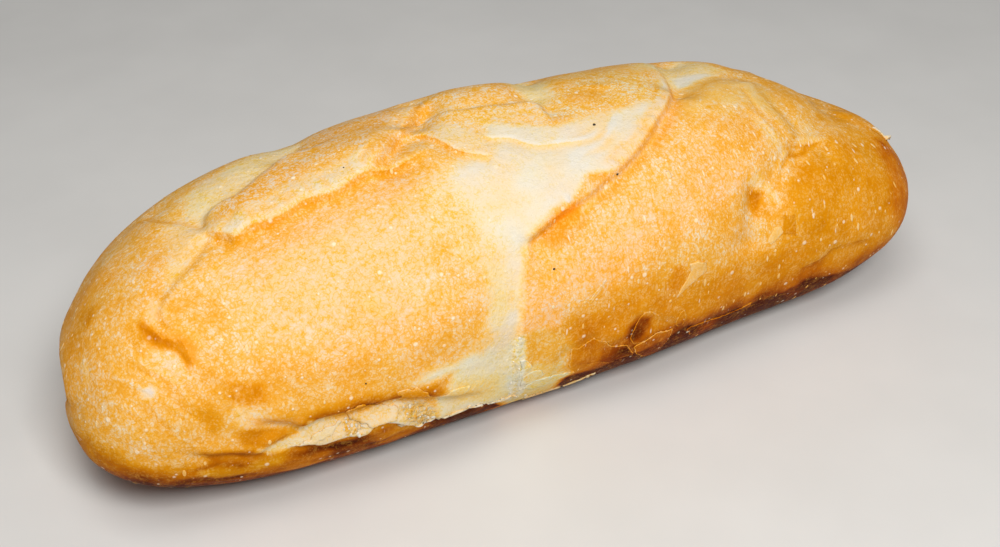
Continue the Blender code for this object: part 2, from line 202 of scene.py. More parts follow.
FOLDS = (
    Fold("burst edge",
         ((-19.5, 37), (-6, 42), (9, 47), (22, 53), (30, 58), (44, 68), (51, 75), (59, 88), (66, 112)),
         rise=0.8, drop=1.8, lip_reach=10, floor_reach=10, over=0.1, edge=1, start_taper=5, end_taper=30,
         floor_tone=0.09, tone_reach=2.2, wall=0.8),
    Fold("front seam",
         ((-18, 39), (-20, 32), (-23, 25), (-24, 18), (-27, 5), (-28, -3), (-27, -12), (-25, -28)),
         rise=0.25, drop=0.8, lip_reach=12, floor_reach=10, edge=0.4, floor_tone=0.08, tone_reach=1.2),
    Fold("right lobe top",
         ((77, 36), (86, 46), (89, 54), (87, 64), (88, 77), (91, 88), (82, 89), (71, 85), (60, 78),
          (53, 74)),
         rise=0.5, drop=1.1, lip_reach=12, floor_reach=8, edge=3.6, start_taper=14, floor_tone=0.1,
         wall=1.0),
    Fold("right ledge", ((84, 44.5), (92, 44), (100, 45)),
         rise=0.9, drop=1.5, lip_reach=5, edge=1.5, lip_tone=-0.15, floor_tone=0.1, tone_reach=2.5,
         line=0.1),
    Fold("middle strip front",
         ((-101, 84), (-97, 77), (-95, 74), (-91, 75), (-80, 74), (-73, 76), (-64, 75), (-54, 78),
          (-44, 77), (-36, 79)),
         rise=1.2, drop=1.9, lip_reach=7, floor_reach=9, over=0.4, edge=1.1, end_taper=16, lip_tone=-0.06,
         floor_tone=0.22, tone_reach=3.5, line=0.1, wall=0.5),
    Fold("middle strip back",
         ((-60, 119), (-70, 108), (-78, 102), (-87, 96), (-93, 97), (-98, 94), (-101, 87)),
         rise=0.6, drop=1.5, lip_reach=7, floor_reach=9, over=0.6, edge=1.6, start_taper=12,
         lip_tone=0.05, floor_tone=0.1, tone_reach=1.5, line=0.05, wall=0.5),
    Fold("end cap top", ((-101, 86), (-104, 96), (-109, 108), (-113, 126)),
         rise=0.4, drop=0.8, floor_reach=8, edge=1.6, lip_tone=-0.04, floor_tone=0.12, tone_reach=1.6,
         line=0.15, wall=0.4),
    Fold("belly shoulder", ((-99, 84), (-105, 76), (-112, 70), (-118, 66), (-122, 61), (-122, 54)),
         rise=0.5, drop=0.5, lip_reach=9, floor_reach=9, lip_tone=0.04, floor_tone=0.12, tone_reach=1.3,
         line=0.06, wall=0.3),
    Fold("end crack", ((-128, 64), (-126.5, 56), (-125, 50), (-121, 46), (-120, 36)),
         rise=0.35, drop=0.35, lip_reach=6, floor_reach=3.5, edge=1, floor_tone=0.14, tone_reach=3.2,
         wall=1.2),
    Fold("end tuck", ((-139, 168), (-145, 140), (-147.5, 115), (-149, 88)),
         rise=1.3, drop=1.5, floor_reach=12, over=0.4, edge=0.8, end_taper=5, tone_reach=3),
    Fold("nose", ((-50, 80), (-44, 85), (-38, 91), (-34, 94), (-26, 104), (-18, 114)),
         rise=1.2, drop=2.4, lip_reach=9, floor_reach=8, over=0.2, lip_tone=0.06, floor_tone=0.12,
         tone_reach=2.5, line=0.04, wall=0.5),
    Fold("centre back", ((9, 82), (10, 90), (6, 94), (-10, 97), (-25, 103), (-35, 95)),
         rise=0.9, drop=1.2, over=0.2, lip_tone=0.06, floor_tone=0.06, tone_reach=1.5, line=0.15,
         wall=0.4),
    Fold("centre flap", ((-33, 91), (-30, 89), (-25, 76), (-20, 71.5), (-17, 70)),
         rise=0.4, drop=0.8, lip_reach=9, floor_reach=5, over=0.1, edge=0.5, start_taper=5, end_taper=1.5,
         lip_tone=-0.06, floor_tone=0.3, tone_reach=1.5, line=0.2, wall=0.3),
    Fold("centre ledge", ((-14, 79), (-13, 78), (-7, 75), (-2, 70), (4, 67.5), (12, 66)),
         rise=0.3, drop=0.5, floor_reach=5, over=0.3, edge=0.6, start_taper=2, lip_tone=-0.08,
         floor_tone=0.16, tone_reach=1.6, line=0.1),
    Fold("brown top ridge", ((28, 95), (32, 91), (37, 89)),
         rise=0.5, drop=0.3, lip_reach=3, floor_reach=4, edge=1.6, lip_tone=0.12),
    Fold("belly fold",
         ((-105, 7), (-99, 3), (-95, -1), (-90, 0), (-83, -1), (-73, -1), (-65, -3), (-55, -7),
          (-42, -12)),
         rise=1.3, drop=2.8, lip_reach=9, floor_reach=7, over=0.4, edge=1.8, end_taper=14, lip_tone=0.2,
         floor_tone=0.06, tone_reach=4.5, wall=0.4),
    Fold("end foot fold", ((-125, -1), (-122, -3), (-115, -6), (-108, -9), (-104, -6), (-99, -5)),
         rise=0.8, drop=1.2, lip_reach=5, floor_reach=5, over=0.1, edge=1.2, lip_tone=0.05,
         floor_tone=0.04, tone_reach=1.8, wall=0.8),
    Fold("torn foot",
         ((-98, -11), (-94, -11), (-90, -13), (-82, -13), (-77, -14), (-73, -11), (-68, -13), (-63, -17),
          (-58, -20), (-52, -20), (-46, -20), (-39, -20), (-32, -23), (-25, -28)),
         rise=0.7, drop=1.4, lip_reach=5, edge=0.4, lip_tone=-0.06, floor_tone=0.1, line=0.25, rim=0.35),
    Fold("right foot",
         ((-14, -22), (-13, -8), (-6, -6), (-2, -4), (4, -10), (11, -9), (14, -2), (24, -6), (36, -15),
          (50, -18)),
         rise=0.5, drop=0.6, lip_reach=6, edge=2.2, tone_reach=1.8),
    Fold("right heel", ((80, -8), (87, -6), (92, -2), (101, -2), (108, -3)),
         rise=0.4, drop=0.5, lip_reach=6, edge=2, lip_tone=-0.04, floor_tone=0.08, tone_reach=2.5),
)

SWEEPS = (
    Sweep("middle strip", ((-92, 86), (-80, 89), (-65, 92), (-52, 92), (-43, 90)), height=1.6, width=8),
    Sweep("back strip's end", ((112, 126), (119, 112), (122, 96), (123, 80)), height=-2.4, width=8),
    Sweep("end furrow", ((122, 79), (112, 64), (100, 54), (81, 39), (72, 32), (62, 20), (58, 8)),
          height=-2.2, width=8),
    Sweep("split's far end", ((56, 80), (65, 96), (71, 109), (77, 124)), height=-2.6, width=6),
    Sweep("middle notch", ((-31, 96), (-24, 108), (-20, 122)), height=-2.0, width=6),
    Sweep("top notch", ((10, 96), (16, 108), (26, 132)), height=-2.2, width=6),
    Sweep("strip notch", ((-64, 110), (-61, 122), (-60, 145)), height=-2.2, width=10),
)

SWELLS = (
    Swell("right lobe", (52, 58), 2.6, 36.0, 26.0),
    Swell("right end lobe", (134, 58), 2.0, 9.0, 15.0),
    Swell("right end heel", (122, -8), 1.8, 18.0, 12.0),
    Swell("right tip", (141, 18), -1.6, 10.0, 14.0),
    Swell("belly", (-70, 42), 1.6, 38.0, 26.0),
    Swell("end cap", (-132, 70), 1.2, 16.0, 20.0),
    Swell("left shoulder", (-125, 130), -1.4, 24.0, 20.0),
    Swell("left heel", (-149, -18), 1.0, 8.0, 12.0),
    Swell("back crust", (-4, 112), 2.0, 20.0, 12.0),
    Swell("brown top", (36, 92), 1.4, 22.0, 14.0),
    Swell("pale hollow", (-27, 30), -2.0, 13.0, 26.0),
    Swell("dimple", (62, 27), -1.8, 4.0, 6.0),
    Swell("foot pillow", (-104, 4), 1.0, 6.0, 5.0),
    Swell("foot lumps", (-62, -11), 1.2, 22.0, 7.0),
)

LUMPS = (Lumps(42.0, 0.9, 11), Lumps(17.0, 0.45, 12), Lumps(7.5, 0.2, 13))
TORN_LUMPS = (Lumps(2.6, 0.5, 91), Lumps(1.4, 0.3, 92))  # where the crust is torn
EDGE_LUMPS = (Lumps(12.0, 0.5, 80), Lumps(4.0, 0.35, 80), Lumps(1.8, 0.25, 80))  # of the patches' edges
BAKE_LUMPS = (Lumps(28.0, 5.0, 71), Lumps(9.0, 2.0, 72))  # of the heights where the bake changes


def between(x: Array, xs: Array, ys: Array) -> Array:
    """A smooth curve through the stations' values.

    Args:
        x: Where the curve is read.
        xs: The stations' places, in order.
        ys: The stations' values.

    Returns:
        The curve's values at x.
    """
    slope = np.gradient(ys, xs)
    i = np.clip(np.searchsorted(xs, x) - 1, 0, len(xs) - 2)
    gap = xs[i + 1] - xs[i]
    t = (x - xs[i]) / gap
    start = (2 * t**3 - 3 * t**2 + 1) * ys[i] + (t**3 - 2 * t**2 + t) * gap * slope[i]
    end = (3 * t**2 - 2 * t**3) * ys[i + 1] + (t**3 - t**2) * gap * slope[i + 1]
    return start + end


def unit(vectors: Array) -> Array:
    """The vectors at length 1."""
    return vectors / np.maximum(np.linalg.norm(vectors, axis=-1, keepdims=True), 1e-12)


def ramp(x: Array) -> Array:
    """0 below 0, 1 above 1, and smooth between."""
    x = np.clip(x, 0, 1)
    return x * x * (3 - 2 * x)


def bell(x: Array) -> Array:
    """1 at 0, falling to nothing on both sides."""
    return np.exp(-(x**2))


def taper(run: Array, length: float, start: float, end: float) -> Array:
    """1 along a path, falling to 0 at its ends."""
    return ramp(run / start + 0.5) * ramp((length - run) / end + 0.5)


def noise(points: Array, size: float, seed: int) -> Array:
    """Smooth seeded noise.

    Args:
        points: Where it is read, in the units of size.
        size: How large its lumps are.
        seed: Which noise it is.

    Returns:
        A value from -1 to 1 for each point.
    """
    draw = np.random.default_rng(seed)
    order = draw.permutation(256)
    value = draw.uniform(-1, 1, 256)
    place = points / size
    cell = np.floor(place).astype(int)
    part = ramp(place - cell)
    total = np.zeros(len(points))
    for corner in range(8):
        bits = np.array([corner & 1, corner >> 1 & 1, corner >> 2 & 1])
        key = cell + bits
        mixed = order[(order[(order[key[:, 0] & 255] + key[:, 1]) & 255] + key[:, 2]) & 255]
        total += value[mixed] * np.where(bits, part, 1 - part).prod(axis=1)
    return total


def unevenness(points: Array, lumps: tuple[Lumps, ...]) -> Array:
    """Chance unevenness of several sizes, added up."""
    return sum(one.height * noise(points, one.size, one.seed) for one in lumps)


def past(x: Array, edge: Place) -> Array:
    """1 past an edge's start by its width, 0 before it. A width below nothing faces the other way."""
    return ramp((x - edge[0]) / edge[1])


def depth_inside(corners: Array, spots: Array) -> Array:
    """How deep inside an outline each spot lies, or less than 0 outside it.

    Args:
        corners: The outline's corners.
        spots: The spots.

    Returns:
        The distance from the outline for each spot.
    """
    distance = np.full(len(spots), np.inf)
    within = np.zeros(len(spots), bool)
    for start, end in zip(corners, np.roll(corners, -1, axis=0)):
        way = end - start
        share = np.clip((spots - start) @ way / (way @ way), 0, 1)
        distance = np.minimum(distance, np.linalg.norm(spots - start - share[:, None] * way, axis=1))
        level = (start[1] > spots[:, 1]) != (end[1] > spots[:, 1])
        rise = way[1] if way[1] else 1.0
        within ^= level & (spots[:, 0] < start[0] + (spots[:, 1] - start[1]) / rise * way[0])
    return np.where(within, distance, -distance)


@dataclass
class Beside:
    """Where the crust's points lie beside a path.

    near holds the numbers of the points within reach. The other arrays go with it.
    """

    near: Array
    side: Array  # distance to the path's left
    run: Array  # how far along the path
    length: float  # the path's own
    left: Array  # the direction to its left


@dataclass
class Form:
    """The loaf's form, and where each place on its crust lies."""

    length: float = 300.0
    end_bluntness: float = 4.0
    upper_squareness: float = 2.15
    lower_squareness: float = 2.5
    sink: float = 1.18
    base_roll: float = 3.0
    base_fade: float = 9.0
    path_step: float = 0.8
    knot_samples: int = 40
    crown_samples: int = 4001
    bell_reach: float = 3.0
    sweep_taper: float = 8.0
    overhang_reach: float = 3.0
    wobble: float = 0.5
    wobble_size: float = 6.0
    wobble_seed: int = 31
    line_reach: float = 1.5
    rim_reach: float = 2.5
    ridge_taper: float = 6.0
    ridge_bend: float = 1.2
    ridge_bend_size: float = 9.0
    ridge_bend_seed: int = 40  # added to the ridges' own
    torn_depth: float = 0.3

    @property
    def half(self) -> float:
        """Half the loaf's length."""
        return self.length / 2

    def plain(self, along: Array, turn: Array) -> Array:
        """The loaf's body without its folds.

        Args:
            along: Millimetres along X.
            turn: Radians round the section.

        Returns:
            The points, in millimetres.
        """
        columns = np.array([list(vars(s).values()) for s in STATIONS]).T
        front, back, crown, belt, bow = (between(along, columns[0], c) for c in columns[1:])
        end = np.sqrt(np.clip(1 - np.abs(along / self.half) ** self.end_bluntness, 0, None))
        cosine = np.cos(turn)
        sine = np.sin(turn)
        half_width = np.maximum(np.where(cosine > 0, front, back) * end, 1e-6)
        half_height = np.maximum(np.where(sine > 0, crown - belt, belt * self.sink) * end, 1e-6)
        power = np.where(sine > 0, self.upper_squareness, self.lower_squareness)
        inverse = (np.abs(cosine) / half_width) ** power + (np.abs(sine) / half_height) ** power
        radius = inverse ** (-1 / power)
        height = belt + radius * sine
        roll = self.base_roll
        rolled = (np.maximum(height, -roll) + roll) ** 2 / (4 * roll)
        height = np.where(height < roll, rolled, height)
        return np.stack(np.broadcast_arrays(along, bow - radius * cosine, height), axis=-1)

    def outwards(self, along: Array, turn: Array) -> Array:
        """The plain crust's outward direction, at the places that plain takes.

        Args:
            along: Millimetres along X.
            turn: Radians round the section.

        Returns:
            The directions, at length 1.
        """
        step = 1e-3
        reach = self.half - 1e-4
        ahead = self.plain(np.clip(along + step, -reach, reach), turn)
        behind = self.plain(np.clip(along - step, -reach, reach), turn)
        return unit(np.cross(ahead - behind, self.round_way(along, turn)))

    def round_way(self, along: Array, turn: Array, step: float = 1e-3) -> Array:
        """The direction round the section, from the front over the top."""
        return self.plain(along, turn + step) - self.plain(along, turn - step)

    def smooth_path(self, places: Places) -> tuple[Array, Array, Array, Array]:
        """A smooth curve on the plain crust.

        Args:
            places: The places that it runs through.

        Returns:
            Its points, the way ahead and to the left at each, and how far along each is.
        """
        knots = np.array(places, float)
        steps = np.arange(len(knots))
        t = np.linspace(0, steps[-1], self.knot_samples * steps[-1])
        along = between(t, steps, knots[:, 0])
        turn = np.radians(between(t, steps, knots[:, 1]))
        points = self.plain(along, turn)
        gone = np.concatenate([[0], np.cumsum(np.linalg.norm(np.diff(points, axis=0), axis=1))])
        even = np.linspace(0, gone[-1], int(gone[-1] / self.path_step) + 2)
        along = np.interp(even, gone, along)
        turn = np.interp(even, gone, turn)
        points = self.plain(along, turn)
        forward = unit(np.gradient(points, axis=0))
        left = unit(np.cross(self.outwards(along, turn), forward))
        return points, forward, left, even

    def beside(self, crust: Array, places: Places, reach: float) -> Beside:
        """Where points of the crust lie beside a path.

        Args:
            crust: Points of the plain crust.
            places: The places that the path runs through.
            reach: How far from it points count.

        Returns:
            The points within reach and their measures.
        """
        points, forward, left, gone = self.smooth_path(places)
        low = points.min(axis=0) - reach
        high = points.max(axis=0) + reach
        near = np.nonzero(((crust > low) & (crust < high)).all(axis=1))[0]
        square = (points**2).sum(axis=1) - 2 * crust[near] @ points.T
        which = square.argmin(axis=1)
        offset = crust[near] - points[which]
        keep = (offset**2).sum(axis=1) < reach**2
        near, which, offset = near[keep], which[keep], offset[keep]
        side = (offset * left[which]).sum(axis=1)
        run = gone[which] + (offset * forward[which]).sum(axis=1)
        return Beside(near, side, run, gone[-1], left[which])

    def even_rings(self, count: int) -> Array:
        """Places along the loaf for rings that are evenly spaced over its top and its ends.

        Args:
            count: How many rings there are.

        Returns:
            Their places along X.
        """
        fine = self.half * np.sin(np.linspace(-math.pi / 2, math.pi / 2, self.crown_samples))
        crown = self.plain(fine, np.full_like(fine, math.pi / 2))
        gone = np.concatenate([[0], np.cumsum(np.linalg.norm(np.diff(crown, axis=0), axis=1))])
        return np.interp(np.linspace(0, gone[-1], count + 2), gone, fine)[1:-1]


# -------------------- colour zones of the crust

FAR_FROM_CREASE = 12.0  # millimetres from any fold's edge


def fold_path(name: str) -> Places:
    """The path of the fold of that name."""
    return next(fold.path for fold in FOLDS if fold.name == name)


STRETCHES = (
    Stretch("lobe's top", fold_path("right lobe top")[2:],
            offset=8, reach=8, spacing=2.2, length=26, height=0.22, seed=51),
    Stretch("nose curls", fold_path("nose"),
            offset=4, reach=5, spacing=1.6, length=14, height=0.3, seed=52, shown=1.9),
    Stretch("strip's front", fold_path("middle strip front"),
            offset=3.5, reach=4, spacing=1.3, length=8, height=0.12, seed=53, across=True),
    Stretch("burst skin", fold_path("burst edge")[2:],
            offset=9, reach=9, spacing=1.7, length=12, height=0.1, seed=54),
    Stretch("burst lip", fold_path("burst edge")[1:7],
            offset=2, reach=2.5, spacing=2.2, length=5, height=0.3, seed=59, across=True),
    Stretch("furrow", ((112, 64), (100, 54), (81, 39), (72, 32), (62, 20)),
            reach=8, spacing=1.8, length=16, height=0.18, seed=55),
    Stretch("left end", ((-136, 62), (-132, 44), (-126, 26), (-118, 6)),
            reach=16, spacing=1.5, length=12, height=0.12, seed=56),
    Stretch("right rim", ((129, 60), (140, 40), (143, 18), (138, -6)),
            reach=7, spacing=1.4, length=22, height=0.12, seed=57),
    Stretch("left foot", ((-130, -12), (-110, -14), (-90, -20), (-60, -26)),
            reach=9, spacing=2, length=16, height=0.15, seed=58, shown=0.4),
)

FLAKES = (
    Flake("leaf",
          ((27.5, 0), (29, 3.5), (31.5, 7), (33, 10), (32.5, 13), (36, 12.8), (39, 11), (39.5, 7.5),
           (35.5, 5.5), (31.5, 3)),
          thick=0.2, tone=0.47, warmth=0.15, rim=0.35, ragged=0.2, raised=(37, 12), lift=0.4),
    Flake("dark spot's plate",
          ((12, -11), (14, -4), (16, 0), (19, -1), (22, -4), (23, -8), (22, -12), (17, -15), (14, -15)),
          thick=0.15),
    Flake("pale-rimmed plate",
          ((14, -16), (17, -15), (21, -13), (22, -12), (27, -14), (29, -14), (29, -17), (28, -21),
           (27, -26), (25, -30), (20, -26), (16, -21)),
          shade=-0.04, rim=0.8),
    Flake("brown plate",
          ((-9, -7), (-6, -8), (-3, -6), (-1, -5), (1, -7), (3, -8), (6, -12), (9, -13), (12, -14),
           (13, -16), (16, -22), (13, -21), (10, -21), (7, -23), (3, -20), (-3, -18), (-9, -16)),
          thick=0.2, shade=0.05, rim=0.6),
    Flake("arched plate", ((29, -10), (30, -6), (32, -6), (33, -9), (33, -15), (30, -14)),
          thick=0.15, rim=0.6),
    Flake("heel plate",
          ((35, -18), (41, -18.5), (48, -20), (56, -20), (62, -18), (62, -21), (54, -25), (46, -26),
           (38, -24)),
          thick=0.2, rim=0.45),
    Flake("small leaf", ((65, 9), (68, 14), (70, 14), (71, 11), (69, 9), (66, 7)),
          thick=0.15, tone=0.44, rim=0.15, ragged=0.2),
    Flake("pale chip", ((32, 46), (34, 46), (34, 43), (32, 43)),
          thick=0.2, tone=0.3, warmth=0.3, rim=0.2, ragged=0.2),
    Flake("loose corner",
          ((-5.2, 12), (-3, 9.6), (0.6, 13.6), (3.6, 17.6), (2.2, 17.2), (-1, 14), (-2.8, 12.2),
           (-4, 13)),
          thick=0.12, rim=0.9, ragged=0.15),
    Flake("thin skin", ((71, 18), (76, 17), (76, 8), (70, 10)),
          thick=0.08, shade=0.15, warmth=0.15, rim=0.25, ragged=0.2),
    Flake("seam's curl", ((-27, -4), (-24, -5), (-22.5, -8), (-24, -11), (-27, -12), (-26, -8)),
          shade=-0.12, rim=0.6, raised=(-23, -8), lift=0.6, lift_reach=3),
    Flake("seam's lower flake", ((-26, -12), (-22, -11), (-19, -12), (-18, -15), (-21, -17), (-26, -17)),
          shade=-0.1),
    Flake("seam's foot",
          ((-26, -19), (-21, -16), (-16, -17), (-10, -19.5), (-4, -21), (-9, -22), (-14, -22.5),
           (-20, -22)),
          thick=0.3, shade=-0.08, rim=0.7, ragged=0.6),
    Flake("white edge under it",
          ((-20, -31), (-12, -33), (-5, -32), (1, -30), (4, -29), (3, -31), (-3, -34), (-12, -36),
           (-20, -35)),
          thick=0.35, tone=0.28, rim=0.4, ragged=1.5),
    Flake("bulge in the torn foot",
          ((-83, 1), (-78, 2), (-71, -4), (-66, -7), (-67, -11), (-74, -11), (-80, -7)),
          thick=0.5, shade=0.06, rim=0.25, ragged=0.8),
    Flake("foot's torn edge",
          ((-66, -17), (-58, -19), (-50, -19), (-41, -19), (-33, -21), (-26, -24), (-33, -24), (-46, -23),
           (-60, -21)),
          thick=0.6, tone=0.1, rim=0.25, ragged=1.3),
    Flake("foot's scale", ((-67, 2), (-61, 1), (-55, -6), (-57, -9), (-65, -6)),
          shade=0.03, rim=0.4, ragged=0.8),
    Flake("scale beside it", ((-55, -7), (-50, -4), (-44, -6), (-46, -10), (-53, -11)),
          shade=0.06, rim=0.4, ragged=0.8),
    Flake("pale wedge", ((-97, -10), (-89, -6), (-82, -5), (-87, -9), (-94, -12)),
          thick=0.4, tone=0.12, rim=0.2, ragged=0.8),
    Flake("curled tip", ((131, 56), (135, 57), (138.5, 52), (138.5, 45), (135, 44), (134, 50)),
          thick=0.35, tone=0.12, rim=0.2, raised=(137, 45), lift=1.8),
)

